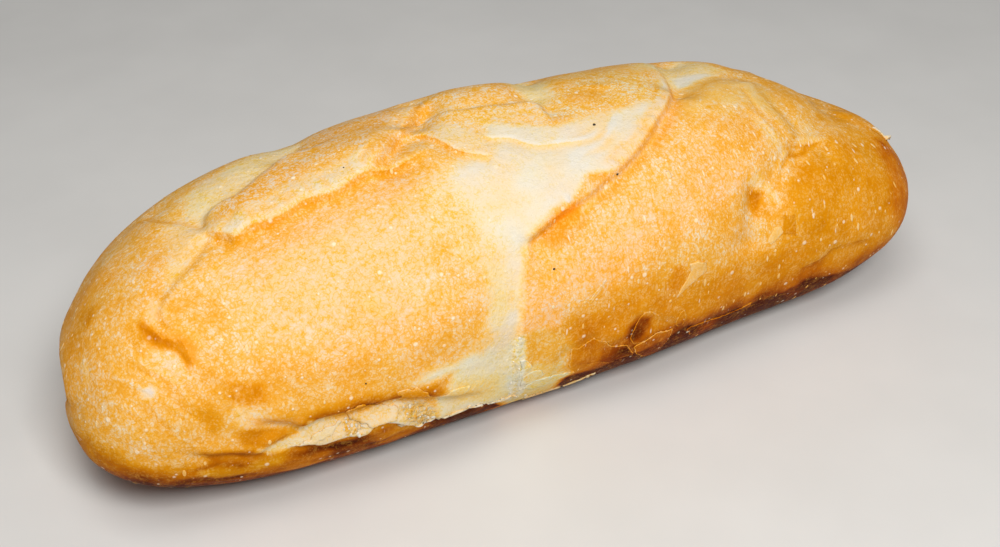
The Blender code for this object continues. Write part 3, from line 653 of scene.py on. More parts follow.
PATCHES = (
    Patch("top", ((-120, 60), (-60, 62), (60, 50), (120, 40), (130, 130), (-130, 130)),
          0.5, blend=30, ragged=8),
    Patch("belly highlight",
          ((-102, 62), (-79, 66), (-61, 68), (-44, 66), (-40, 48), (-49, 31), (-63, 22), (-84, 24),
           (-98, 34), (-106, 47)),
          0.25, warmth=0.8, blend=26, ragged=7),
    Patch("lobe highlight",
          ((-7, 34), (9, 42), (27, 48), (44, 54), (59, 56), (69, 51), (65, 38), (49, 34), (32, 28),
           (16, 21), (1, 15), (-11, 12), (-17, 22)),
          0.38, warmth=0.7, blend=16, ragged=6),
    # darker lower side of the lobe: partly browner crust, partly painted shade
    Patch("lobe's low side",
          ((-14, 4), (8, 8), (37, 6), (60, 6), (80, 10), (104, 14), (118, -20), (77, -22), (17, -22),
           (-8, -22)),
          0.8, warmth=0.2, blend=18, ragged=6),
    Patch("lobe's olive top",
          ((62, 88), (70, 93), (80, 96), (87, 86), (96, 91), (92, 70), (87, 55), (81, 54), (75, 66),
           (65, 68), (55, 68), (48, 66), (44, 66)),
          0.46, warmth=-0.3, grain=0.6, blend=8),
    # deeper orange below the burst edge: partly browning, partly painted shade where the lobe turns into
    # the groove
    Patch("lobe's edge",
          ((-18, 36), (-12, 40), (-3, 42), (5, 46), (15, 49), (27, 56), (42, 67), (56, 84), (52, 70),
           (42, 60), (30, 53), (20, 48), (12, 42), (3, 40), (-4, 35), (-13, 32), (-19, 30)),
          0.66, warmth=0.5, blend=6),
    Patch("furrow",
          ((78, 62), (91, 57), (91, 43), (79, 31), (71, 27), (64, 13), (58, 14), (59, 27), (67, 36),
           (76, 42), (75, 50)),
          0.47, blend=7),
    Patch("lobe's orange patch", ((56, 60), (71, 53), (69, 43), (61, 37), (53, 47)),
          0.58, warmth=0.1, blend=8),
    Patch("right end",
          ((91, 43), (112, 44), (129, 50), (150, 50), (150, 4), (124, -20), (104, -20), (89, -9), (78, 5),
           (75, 22)),
          0.77, warmth=-0.05, blend=24, ragged=6),
    Patch("right end's far side", ((116, 62), (151, 48), (151, 215), (112, 190), (104, 120)),
          0.7, blend=22, ragged=7),
    Patch("right rim", ((128, 44), (144, 30), (150, 10), (132, -12), (122, -14), (119, 8), (124, 26)),
          0.86, warmth=0.6, blend=8),
    Patch("burst skin",
          ((-22, 76), (-11, 77), (2, 70), (10, 76), (24, 76), (39, 76), (48, 76), (60, 100), (60, 90),
           (51, 75), (44, 68), (30, 58), (22, 53), (9, 47), (-6, 42), (-18, 39), (-23, 25), (-25, 11),
           (-28, -3), (-27, -12), (-25, -30), (-42, -24), (-50, -14), (-44, 0), (-38, 10), (-35, 23),
           (-35, 36), (-36, 56), (-34, 66)),
          0.085, warmth=0.1, grain=0.5, blend=9, ragged=5),
    Patch("burst skin's middle",
          ((-1, 67), (9, 71), (21, 71), (37, 72), (44, 74), (37, 63), (23, 56), (9, 50), (-3, 46),
           (-14, 41), (-20, 34), (-26, 12), (-27, -2), (-31, 0), (-31, 14), (-27, 22), (-23, 35),
           (-23, 50), (-15, 60)),
          0.06, warmth=0.1, grain=0.3, blend=7, ragged=3),
    Patch("skin by the seam",
          ((-17, 38), (-19.5, 32), (-22.3, 25), (-23.5, 18), (-25.5, 11), (-26, 5), (-13, 5), (-10, 20),
           (-8, 34), (-12, 38)),
          0.43, warmth=0.6, blend=1.6, ragged=1.3),
    Patch("pale mottle by the belly",
          ((-46, 66), (-34, 68), (-30, 50), (-30, 30), (-34, 18), (-44, 22), (-43, 44)),
          0.27, warmth=0.2, blend=12, ragged=6, strength=0.75),
    Patch("burst lip",
          ((15, 50), (18, 52), (24, 54), (31, 59), (38, 64), (46, 71), (51, 78), (44, 75), (36, 69),
           (28, 63), (18, 58), (14, 54)),
          0.24, warmth=0.5, grain=0.8, strength=0.7),
    Patch("under the lip", ((7, 52), (12, 52), (17, 51), (18, 49), (11, 47.5), (3, 46), (0, 46)),
          0.5, warmth=0.5, blend=2, ragged=1.2),
    Patch("edge's shade",
          ((-11, 41), (-6, 43), (9, 48), (22, 54), (30, 59), (44, 69), (51, 76), (58, 88), (61, 88),
           (54, 75), (46, 67), (32, 56), (22, 51), (9, 45), (-6, 40)),
          0.42, warmth=0.45, grain=0.8, blend=1.6, ragged=0.6),
    Patch("seam's yellow", ((-33, 35), (-27, 32), (-28, 19), (-32, 10), (-36, 14), (-35, 26)),
          0.21, warmth=-0.2, grain=0.5, blend=4),
    Patch("foot flap",
          ((-64, 2), (-60, 6), (-50, 6), (-40, 5), (-32, 3), (-27, 2), (-26, -28), (-39, -20), (-48, -19),
           (-53, -20), (-54, -11), (-54, -2)),
          0.06, warmth=-0.2, grain=0.5, blend=4, ragged=2.5),
    Patch("foot flap's shade", ((-52, -4), (-40, -5), (-33, -10), (-29, -22), (-39, -17), (-47, -14)),
          0.36, warmth=-0.7, grain=0.7, blend=6, strength=0.8),
    Patch("brown top",
          ((17, 97), (25, 101), (39, 102), (48, 96), (54, 96), (56, 98), (54, 92), (50, 81), (44, 75),
           (36, 76), (29, 78), (12, 79), (3, 82), (3, 89), (12, 98)),
          0.45, warmth=-0.2, grain=1.4, blend=5, ragged=3),
    Patch("brown spot", ((22, 92), (30, 92), (34, 88), (27, 84), (20, 87)),
          0.58, warmth=-0.1, blend=6, ragged=2.5),
    Patch("brown spot below", ((2, 82), (12, 80), (14, 77), (6, 76), (0, 78)), 0.5, warmth=0.2, blend=4),
    Patch("brown rim", ((21, 112), (36, 116), (50, 114), (47, 101), (39, 101), (25, 100), (18, 98)),
          0.53, warmth=-0.4, blend=5),
    Patch("far cream",
          ((54, 110), (66, 118), (80, 124), (90, 104), (78, 96), (69, 93), (62, 92), (60, 100), (52, 98),
           (49, 103)),
          0.24, warmth=-0.3, grain=0.7, blend=7),
    Patch("cream triangle", ((68, 104), (77, 99), (83, 97), (75, 93), (67, 90), (64, 92)),
          0.03, warmth=-0.1, grain=0.3, ragged=1),
    Patch("back strip",
          ((86, 109), (104, 118), (126, 120), (123, 84), (113, 61), (100, 53), (95, 60), (93, 74),
           (95, 92)),
          0.58, warmth=-0.05, blend=6),
    Patch("back crust",
          ((-34, 110), (-20, 124), (0, 130), (24, 130), (16, 99), (8, 92), (0, 100), (-12, 103),
           (-26, 105)),
          0.46, grain=1.3, blend=6),
    Patch("top notch", ((26, 136), (22, 107), (19, 98), (14, 93), (8, 89), (10, 100), (14, 130)),
          0.2, warmth=-0.4, grain=0.6, blend=6),
    Patch("centre piece",
          ((-33, 99), (-18, 107), (-3, 97), (10, 91), (10, 84), (6, 78), (-4, 81), (-14, 79), (-17, 72),
           (-24, 76), (-30, 88), (-38, 85), (-45, 81), (-50, 80), (-44, 86)),
          0.35, warmth=0.1, grain=1.3, blend=5),
    Patch("centre piece's brown", ((-28, 98), (-14, 100), (0, 95), (2, 90), (-14, 92), (-26, 92)),
          0.43, grain=1.4, blend=6, ragged=3),
    Patch("flap", ((-24, 92), (-18, 84), (-12, 78), (-17, 71), (-22, 75), (-27, 82)),
          0.21, warmth=0.1, grain=0.7, blend=4),
    Patch("ledge", ((-11, 84), (1, 78), (9, 73), (3, 68), (-4, 71), (-9, 76), (-13, 79)),
          0.1, grain=0.5, blend=4),
    Patch("strip's top",
          ((-97, 103), (-86, 103), (-75, 108), (-60, 122), (-42, 133), (-28, 128), (-23, 118), (-29, 104),
           (-37, 94), (-45, 89), (-52, 91), (-62, 91), (-73, 89), (-83, 86), (-91, 86), (-99, 88)),
          0.44, warmth=0.3, grain=1.6, blend=5, ragged=3),
    Patch("strip's front",
          ((-100, 86), (-91, 83), (-84, 83), (-74, 85), (-63, 87), (-54, 87), (-47, 85), (-45, 82),
           (-52, 79), (-64, 76), (-73, 77), (-84, 75), (-91, 76), (-95, 75), (-97, 78)),
          0.23, warmth=0.2, grain=0.9, blend=4, ragged=2.5),
    Patch("nose's orange",
          ((-51, 80), (-44, 79), (-37, 89), (-28, 103), (-20, 113), (-24, 121), (-32, 112), (-41, 99),
           (-47, 89)),
          0.5, warmth=0.2, blend=5, strength=0.75),
    Patch("back strip by the middle one",
          ((-107, 117), (-98, 118), (-85, 122), (-72, 130), (-57, 146), (-59, 124), (-68, 112),
           (-76, 104), (-86, 97), (-92, 97), (-97, 96), (-101, 90), (-104, 100)),
          0.22, warmth=-0.15, grain=0.8, blend=8),
    Patch("back strip's gold",
          ((-106, 126), (-97, 123), (-84, 129), (-71, 138), (-62, 150), (-75, 164), (-100, 152)),
          0.47, warmth=-0.15, blend=5),
    Patch("back strip's brown end",
          ((-108, 126), (-104, 123), (-100, 117), (-99, 110), (-103, 104), (-109, 112)),
          0.5, warmth=-0.1, ragged=1.5),
    Patch("left end's far side",
          ((-152, 62), (-144, 74), (-139, 98), (-131, 122), (-118, 150), (-120, 215), (-152, 215)),
          0.66, warmth=0.1, blend=12, ragged=5),
    Patch("cap's pale top",
          ((-111, 102), (-104, 103), (-100, 90), (-99, 84), (-105, 77), (-112, 71), (-119, 68),
           (-118, 75), (-112, 88)),
          0.26, warmth=0.2, grain=0.8, blend=6),
    Patch("cap's orange",
          ((-117, 91), (-115, 82), (-117, 71), (-121, 68), (-125, 73), (-125, 83), (-121, 90)),
          0.52, warmth=0.3, blend=7),
    Patch("crack's pale ridge", ((-123, 69), (-119, 66), (-121, 57), (-124, 60), (-125, 66)),
          0.33, warmth=0.2, grain=0.7),
    Patch("below the crack", ((-128, 53), (-122, 44), (-120, 37), (-123, 32), (-128, 39), (-130, 48)),
          0.3, warmth=0.5, blend=6),
    Patch("bump by the crack", ((-125, 65), (-122, 65), (-122, 60), (-125, 59)),
          0.25, warmth=0.5, grain=0.4, blend=1.5, ragged=0.6),
    Patch("orange in the crack",
          ((-128.5, 64), (-126, 63), (-125, 56), (-122.5, 51.5), (-119.5, 48), (-117.5, 43), (-118, 37),
           (-120.5, 36), (-121.5, 42), (-123.5, 46), (-126.5, 50), (-128.5, 56)),
          0.68, warmth=0.5, grain=0.6, blend=2.2, ragged=1),
    Patch("cap's crease", ((-133, 104), (-127, 102), (-126, 98), (-131, 99)), 0.7, warmth=0.1, ragged=1),
    # darker in the dent: painted shade
    Patch("dent in the end", ((-140, 110), (-136, 108), (-135, 92), (-139, 90)),
          0.72, blend=4, ragged=1.5),
    Patch("pale scratch", ((-144.5, 82), (-142, 80), (-143, 60), (-145.5, 60)),
          0.22, grain=0.8, blend=2, ragged=1.5, strength=0.7),
    Patch("white blister", ((-134, 38), (-131, 37), (-130, 34), (-132, 32), (-134, 34)),
          0.12, warmth=0.5, grain=0.2, blend=1, ragged=0.5),
    Patch("furrow's upper streak",
          ((73, 65), (76, 56), (79, 47), (81, 40), (79, 39), (76, 46), (73, 54), (71, 63)),
          0.24, warmth=0.1, grain=0.8, blend=2.5, strength=0.8),
    Patch("furrow's lower streak", ((62, 33), (66, 35), (70, 30), (73, 22), (71, 20), (68, 27), (64, 30)),
          0.24, warmth=0.1, grain=0.8, blend=2, ragged=1.2, strength=0.8),
    Patch("left heel's shade",
          ((-152, 26), (-147, 12), (-143, 0), (-136, -7), (-125, -11), (-110, -12), (-98, -13),
           (-98, -40), (-152, -40)),
          0.92, warmth=-0.4, blend=14, ragged=5),
    Patch("left foot's orange", ((-122, 34), (-110, 26), (-113, 10), (-120, 16), (-124, 25)),
          0.6, blend=7),
    Patch("left foot's brown", ((-112.5, 26), (-103, 21), (-103.5, 14), (-109, 13.5), (-112.5, 16)),
          0.76, warmth=0.4, blend=3.5, ragged=1.5),
    Patch("second orange", ((-124, 25), (-119, 23), (-115, 16), (-117, 13), (-121, 17)),
          0.72, blend=3.5, ragged=1.5),
    Patch("foot's pillow",
          ((-112, 17), (-108, 13), (-103, 8), (-101, -1), (-106, 2), (-112, 6), (-113, 12)),
          0.31, warmth=0.2, grain=0.8, ragged=1),
    # darker in the hollow: painted shade
    Patch("upper hollow",
          ((-113, 5), (-109, 5), (-104, 1.5), (-100, -1), (-99, -8), (-103, -9), (-107, -5), (-110, -3),
           (-113, -1)),
          0.8, warmth=0.1, grain=0.8, blend=2.5, ragged=0.8),
    # darker in the hollow: painted shade
    Patch("lower hollow",
          ((-124, 1), (-120, -1), (-115, -3), (-111, -4), (-106, -5), (-105, -12), (-110, -14),
           (-114, -13), (-121, -10)),
          0.84, warmth=-0.1, grain=0.8, ragged=0.8),
    Patch("notch by the pillow", ((-99, -2), (-95, -2), (-94, -11), (-99, -11)),
          0.72, warmth=-0.1, grain=0.8, blend=1.5, ragged=0.5),
    Patch("pillow's lower edge",
          ((-109, 9.5), (-104, 8.5), (-98, 5), (-92, 4.5), (-92, 1), (-98, 0), (-103, 2.5), (-108, 5.5)),
          0.48, warmth=0.5, grain=0.6, blend=2, ragged=0.6),
    Patch("belly's shaded fold",
          ((-96, -1), (-94, 5), (-87, 5), (-78, 5), (-67, 3), (-57, 1), (-50, 2), (-52, -6), (-65, -5),
           (-74, -3), (-82, -3), (-90, 1), (-94, -2)),
          0.74, blend=4),
    Patch("torn crumb",
          ((-99, -10), (-96, -8), (-95, -4), (-93, 1), (-87, -3), (-82, -4), (-78, -4), (-71, -4),
           (-65, -5), (-59, -8), (-55, -12), (-53, -20), (-58, -20), (-63, -17), (-69, -12), (-74, -10),
           (-77, -14), (-82, -13), (-90, -13), (-94, -11)),
          0.16, warmth=0.1, grain=0.9, blend=2.5, ragged=1.5),
    Patch("crumb hole", ((-84, -6), (-80, -5), (-77, -9), (-78, -15), (-83, -11)),
          0.34, blend=2.5, ragged=1.5, rough=1.0),
    Patch("crumb holes", ((-66, -8), (-60, -7), (-56, -11), (-53, -20), (-58, -21), (-64, -14)),
          0.36, warmth=-0.1, ragged=1.5, rough=1.2),
    Patch("pale streak", ((-108, -6), (-105, -11), (-97, -10), (-94, -7), (-99, -7)),
          0.2, warmth=-0.1, grain=0.8, ragged=1.5),
    Patch("foot's gold",
          ((-124, -12), (-107, -14), (-96, -14), (-87, -15), (-78, -16), (-70, -15), (-62, -21),
           (-50, -31), (-56, -34), (-69, -33), (-90, -26), (-108, -22), (-120, -24)),
          0.91, warmth=-0.3, blend=5),
    Patch("left foot's pale streak",
          ((-124, -13), (-118, -13), (-112, -14), (-105, -13), (-100, -13), (-102, -17), (-110, -19),
           (-119, -19)),
          0.78, warmth=-0.9, blend=3.5, ragged=2.5),
    Patch("right of the seam", ((-25, 6), (-18, 4), (-11, -6), (-10, -20), (-25, -32), (-27, -3)),
          0.34, warmth=-0.5, grain=0.8, blend=6, ragged=3),
    Patch("gold right of the seam",
          ((-25, 5), (-18, 5), (-11, 0), (-9, -7), (-13, -11), (-19, -9), (-25, -6)),
          0.58, warmth=-0.35, ragged=1.5),
    Patch("dimple", ((61, 31), (67, 28), (67, 19), (61, 18)), 0.76, warmth=0.3, blend=3.5, ragged=1),
    Patch("ridge by the ledge", ((91, 53), (100, 52), (98, 45), (90, 46)), 0.5, grain=0.8),
    Patch("red spot", ((-9, 43), (-5, 44.5), (1, 43), (0, 38), (-6, 37), (-12, 41)),
          0.6, warmth=1.0, blend=4, ragged=1.5),
    Patch("peach spot", ((-14, 40), (-6, 39), (-5, 33), (-11, 32), (-14, 36)), 0.68, warmth=0.9, blend=5),
    Patch("beside the leaf flake", ((25, 9), (26, 14), (31, 14), (32, 9), (29, 4), (26, 4)),
          0.77, warmth=0.4, blend=2, ragged=1),
    Patch("dark spot", ((11, -5), (15, -1.5), (19.5, -3.5), (19.5, -9), (16, -14), (12, -14), (10, -10)),
          1.0, warmth=0.5, grain=0.6, blend=4, ragged=1),
    Patch("dark spot by the foot", ((4, -18), (8, -16), (10, -19), (6, -22)),
          0.95, warmth=0.3, grain=0.6, ragged=1),
    Patch("seam's crumb",
          ((-30, 5), (-25, 6), (-25, -3), (-25, -12), (-24, -20), (-19, -32), (-25, -34), (-28, -26),
           (-30, -15), (-30, -5)),
          0.04, warmth=-0.2, blend=2, ragged=1.5, rough=0.3),
    Patch("pale foot", ((-22, -16), (-15, -17), (-8, -20), (-9, -35), (-25, -35)),
          0.26, warmth=-0.6, grain=0.8, ragged=1.5),
    # dark lower back: partly the browner base crust, partly painted shade
    Patch("back's base",
          ((-153, 290), (-153, 216), (-136, 226), (-90, 234), (90, 234), (136, 222), (153, 208),
           (153, 290)),
          0.95, warmth=0.2, blend=24, ragged=7),
    Patch("right base's shade",
          ((2, -12), (18, -11), (34, -12), (52, -13), (67, -14), (82, -11), (99, -10), (112, -9),
           (126, -8), (138, -12), (149, -16), (149, -100), (-4, -100), (-4, -24)),
          0.91, warmth=0.3, blend=9, ragged=3),
    # dark band along the base: partly the browner base crust, partly painted shade where the loaf rolls
    # under
    Patch("right base's edge",
          ((-10, -23), (-3, -23), (4, -24), (9, -22), (18, -20), (27, -19), (34, -16.5), (43, -17.5),
           (52, -19), (60, -20.5), (67, -19.5), (75, -19.5), (82, -16.5), (90, -17.5), (99, -17.5),
           (111, -20.5), (125, -24), (138, -30), (138, -100), (-14, -100), (-10, -40)),
          1.0, warmth=0.5, blend=2.5, ragged=2.5),
    # dark band along the base: partly the browner base crust, partly painted shade where the loaf rolls
    # under
    Patch("left base's edge",
          ((-145, -16), (-134, -24), (-124, -22), (-112, -24), (-101, -26), (-88, -28), (-76, -29),
           (-63, -29), (-54, -22), (-45, -25), (-36, -27), (-30, -38), (-30, -100), (-145, -100)),
          0.97, warmth=0.3, blend=6, ragged=2.5),
    # dark band below the flap: partly browner crust, partly painted shade under it
    Patch("below the flap", ((-54, -22), (-45, -22), (-40, -22), (-34, -25), (-28, -34), (-50, -36)),
          0.97, warmth=0.2, grain=0.5, blend=1.5, ragged=0.8),
)


@dataclass(frozen=True)
class Baking:
    """How brown the crust is where no zone says otherwise; it darkens towards the bottom, partly browner
    crust and partly painted shade.
    """

    sides: float = 0.58
    # low and foot darken the lower crust: partly browner crust, partly painted shade where less light
    # reaches
    low: float = 0.80
    foot: float = 0.94
    base: float = 0.88
    low_height: float = 30.0
    foot_height: float = 6.0
    under_height: float = 1.0
    start: float = 0.2  # the share of a height where its change begins
    foot_stray: float = 0.4  # how much of the unevenness the foot's height has
    grain: float = 1.0
    round_mm: float = 0.95  # a degree round the section, laid flat


@dataclass
class Skin:
    """The crust on a grid: its places, its points and what is painted on it."""

    form: Form
    along: Array
    turn: Array
    plain: Array = field(init=False)
    flat: Array = field(init=False)  # along and round, both in millimetres
    stray: Array = field(init=False)  # noise that makes the patches' edges ragged
    points: Array = field(init=False)
    paint: dict[str, Array] = field(default_factory=dict)
    baking: Baking = Baking()

    def __post_init__(self) -> None:
        """Work out the plain crust."""
        self.plain = self.form.plain(self.along, self.turn)
        degrees = (np.degrees(self.turn) + 90) % 360 - 90
        self.flat = np.stack([self.along, degrees * self.baking.round_mm], axis=1)
        self.stray = unevenness(self.plain, EDGE_LUMPS)

    def raise_relief(self) -> None:
        """Raise the lumps, swellings, folds and ridges, and note the folds' edges and tones."""
        height = unevenness(self.plain, LUMPS)
        slide = np.zeros_like(self.plain)
        self.paint["crease"] = np.full(len(height), FAR_FROM_CREASE)
        for name in ("lip_tone", "floor_tone", "line", "rim", "stretch", "rough"):
            self.paint[name] = np.zeros(len(height))
        for swell in SWELLS:
            middle = self.form.plain(swell.place[0], math.radians(swell.place[1]))
            offset = self.plain - middle
            long = offset[:, 0] / swell.long
            wide = np.hypot(offset[:, 1], offset[:, 2]) / swell.wide
            height += swell.height * bell(long) * bell(wide)
        for sweep in SWEEPS:
            at = self.form.beside(self.plain, sweep.path, self.form.bell_reach * sweep.width)
            strength = taper(at.run, at.length, self.form.sweep_taper, self.form.sweep_taper)
            height[at.near] += sweep.height * strength * bell(at.side / sweep.width)
        for fold in FOLDS:
            self.add_fold(fold, height, slide)
        for stretch in STRETCHES:
            self.add_stretch(stretch, height)
        for patch in PATCHES:
            if patch.rough:
                self.paint["rough"] += patch.rough * self.inside(patch)
        height += self.paint["rough"] * (unevenness(self.plain, TORN_LUMPS) - self.form.torn_depth)
        fade = ramp(self.plain[:, 2:] / self.form.base_fade)
        outwards = self.form.outwards(self.along, self.turn)
        self.points = self.plain + fade * (outwards * height[:, None] + slide)
        self.points[:, 2] = np.maximum(self.points[:, 2], 0)

    def add_fold(self, fold: Fold, height: Array, slide: Array) -> None:
        """Raise a fold's lip and lower its floor, with a steep rounded edge between them.

        Args:
            fold: The fold.
            height: How far each point moves outwards, which this adds to.
            slide: Each point's move sideways, which this adds to.
        """
        form = self.form
        at = form.beside(self.plain, fold.path, form.bell_reach * max(fold.lip_reach, fold.floor_reach))
        side = at.side + form.wobble * noise(self.plain[at.near], form.wobble_size, form.wobble_seed)
        strength = taper(at.run, at.length, fold.start_taper, fold.end_taper)
        on_lip = 0.5 + 0.5 * np.tanh(side / fold.edge)
        lip = fold.rise * bell(np.maximum(side, 0) / fold.lip_reach)
        floor = -fold.drop * bell(np.minimum(side, 0) / fold.floor_reach)
        height[at.near] += strength * (on_lip * lip + (1 - on_lip) * floor)
        hang = strength * on_lip * fold.over * bell(side / form.overhang_reach)
        slide[at.near] -= at.left * hang[:, None]
        closer = (np.abs(side) < np.abs(self.paint["crease"][at.near])) & (strength > 0)
        tone = strength * bell(side / fold.tone_reach)
        # The floor's tone and the line are painted shade beside and along the edge; the floor's is partly
        # browning too.
        for name, value in (
            ("crease", side - fold.wall),
            ("lip_tone", fold.lip_tone * tone),
            ("floor_tone", fold.floor_tone * tone),
            ("line", fold.line * strength * bell(side / form.line_reach)),
            ("rim", fold.rim * strength * bell(side / form.rim_reach)),
        ):
            self.paint[name][at.near[closer]] = value[closer]

    def add_stretch(self, stretch: Stretch, height: Array) -> None:
        """Raise fine ridges beside a path, and note them for the colour.

        Args:
            stretch: The ridges.
            height: How far each point moves outwards, which this adds to.
        """
        form = self.form
        at = form.beside(self.plain, stretch.path, abs(stretch.offset) + 2 * stretch.reach)
        side = at.side - stretch.offset
        strength = bell(side / stretch.reach) * taper(at.run, at.length, form.ridge_taper, form.ridge_taper)
        short, long = (at.run, side) if stretch.across else (side, at.run)
        sheet = np.stack([short / stretch.spacing, long / stretch.length, np.zeros_like(side)], axis=1)
        bend = noise(self.plain[at.near], form.ridge_bend_size, stretch.seed + form.ridge_bend_seed)
        sheet[:, 0] += form.ridge_bend * bend
        ridge = noise(sheet, 1.0, stretch.seed)
        height[at.near] += stretch.height * strength * ridge
        self.paint["stretch"][at.near] += stretch.shown * strength * ridge

    def colour(self) -> None:
        """Paint how far each place is baked, its warmth and how much of its grain shows."""
        baking = self.baking
        height = self.points[:, 2]
        stray = unevenness(self.plain, BAKE_LUMPS)
        # darker towards the bottom: partly browner crust, partly painted shade
        low = 1 - ramp((height + stray) / baking.low_height - baking.start)
        foot = 1 - ramp((height + baking.foot_stray * stray) / baking.foot_height - baking.start)
        tone = baking.sides + (baking.low - baking.sides) * low
        tone = tone + (baking.foot - tone) * foot
        warmth = np.zeros(len(tone))
        grain = np.full(len(tone), baking.grain)
        for patch in PATCHES:
            inside = self.inside(patch)
            tone += inside * (patch.tone - tone)
            warmth += inside * (patch.warmth - warmth)
            grain += inside * (patch.grain - grain)
        underneath = 1 - ramp(height / baking.under_height)
        self.paint["tone"] = tone + underneath * (baking.base - tone)
        self.paint["warmth"] = warmth
        self.paint["grain"] = grain

    def inside(self, patch: Patch) -> Array:
        """How far inside a patch each place is.

        Args:
            patch: The patch.

        Returns:
            0 outside, the patch's strength inside and between them near its edge.
        """
        corners = np.array(patch.outline, float) * (1, self.baking.round_mm)
        margin = patch.blend + patch.ragged
        low = corners.min(axis=0) - margin
        high = corners.max(axis=0) + margin
        near = np.nonzero(((self.flat > low) & (self.flat < high)).all(axis=1))[0]
        signed = depth_inside(corners, self.flat[near]) + patch.ragged * self.stray[near]
        result = np.zeros(len(self.flat))
        result[near] = patch.strength * ramp(signed / patch.blend + 0.5)
        return result


# -------------------- node trees

Settings = dict[str, Any]
Sockets = dict[int | str, Any]
Colour = tuple[float, float, float]


class Field:
    """A socket of a node tree, which plain sums and products can be written with."""

    def __init__(self, tree: "Tree", socket: bpy.types.NodeSocket) -> None:
        """Wrap one output socket of a tree."""
        self.tree = tree
        self.socket = socket

    def math(self, operation: str, *others: Any) -> "Field":
        """The result of a Math node on this field and others."""
        sockets = dict(enumerate((self, *others)))
        return self.tree.field("ShaderNodeMath", {"operation": operation}, sockets)

    def __add__(self, other: Any) -> "Field":
        """This field plus another or a number."""
        return self.math("ADD", other)

    __radd__ = __add__

    def __sub__(self, other: Any) -> "Field":
        """This field less another or a number."""
        return self.math("SUBTRACT", other)

    def __rsub__(self, other: float) -> "Field":
        """A number less this field."""
        return self.tree.field("ShaderNodeMath", {"operation": "SUBTRACT"}, {0: other, 1: self})

    def __mul__(self, other: Any) -> "Field":
        """This field times another or a number."""
        return self.math("MULTIPLY", other)

    __rmul__ = __mul__


class Tree:
    """A node tree, and how it is built up."""

    def __init__(self, tree: bpy.types.NodeTree) -> None:
        """Start on a tree, with its nodes removed."""
        self.tree = tree
        tree.nodes.clear()

    def node(
        self, kind: str, settings: Settings | None = None, sockets: Sockets | None = None
    ) -> bpy.types.Node:
        """Any node.

        Args:
            kind: Its type.
            settings: Its properties, set first. "stops" are a ramp's (place, colour) pairs.
            sockets: Values or links for its inputs, by number, identifier or name.

        Returns:
            The node.
        """
        made = self.tree.nodes.new(kind)
        for name, value in (settings or {}).items():
            if name == "stops":
                self.set_stops(made.color_ramp, value)
            else:
                setattr(made, name, value)
        for name, value in (sockets or {}).items():
            self.feed(self.find(made.inputs, name), value)
        return made

    @staticmethod
    def set_stops(scale: bpy.types.ColorRamp, stops: tuple[tuple[float, Colour], ...]) -> None:
        """Give a colour ramp its stops.

        Args:
            scale: The colour ramp.
            stops: The place and the colour of each.
        """
        while len(scale.elements) < len(stops):
            scale.elements.new(1.0)
        for element, (place, colour) in zip(scale.elements, stops):
            element.position = place
            element.color = (*colour, 1.0)

    @staticmethod
    def find(sockets: Any, name: int | str) -> bpy.types.NodeSocket:
        """A socket by its number, its identifier or its name.

        Args:
            sockets: A node's inputs or outputs.
            name: The number, identifier or name.

        Returns:
            The socket.
        """
        if isinstance(name, int):
            return sockets[name]
        named = [s for s in sockets if s.identifier == name] or [s for s in sockets if s.name == name]
        return named[0]

    def feed(self, socket: bpy.types.NodeSocket, value: Any) -> None:
        """Link a field or a socket to an input, or set its value.

        Args:
            socket: The input.
            value: What it takes.
        """
        if isinstance(value, Field):
            value = value.socket
        if isinstance(value, bpy.types.NodeSocket):
            self.tree.links.new(value, socket)
        else:
            socket.default_value = value

    def field(
        self,
        kind: str,
        settings: Settings | None = None,
        sockets: Sockets | None = None,
        out: int | str = 0,
    ) -> Field:
        """A node's output as a field, from what node takes."""
        return Field(self, self.find(self.node(kind, settings, sockets).outputs, out))


@dataclass(frozen=True)
class Mottle:
    """One kind of unevenness in a finish."""

    size: float  # of its lumps, in millimetres
    detail: float = 2.0
    shift: float = 0.0  # which part of the noise it shows, so that no two are alike
    share: float = 1.0  # how much it does
    drawn: float = 1.0  # width over length, where it is drawn out along the skin


@dataclass(frozen=True)
class Dots:
    """One kind of round soft dots in a finish."""

    cell: float  # the size of the cells that hold one dot each, in millimetres
    radius: float  # of the largest
    share: float  # of the cells that hold a dot
    drawn: float = 1.0
    shift: tuple[float, float, float] = (0.0, 0.0, 0.0)


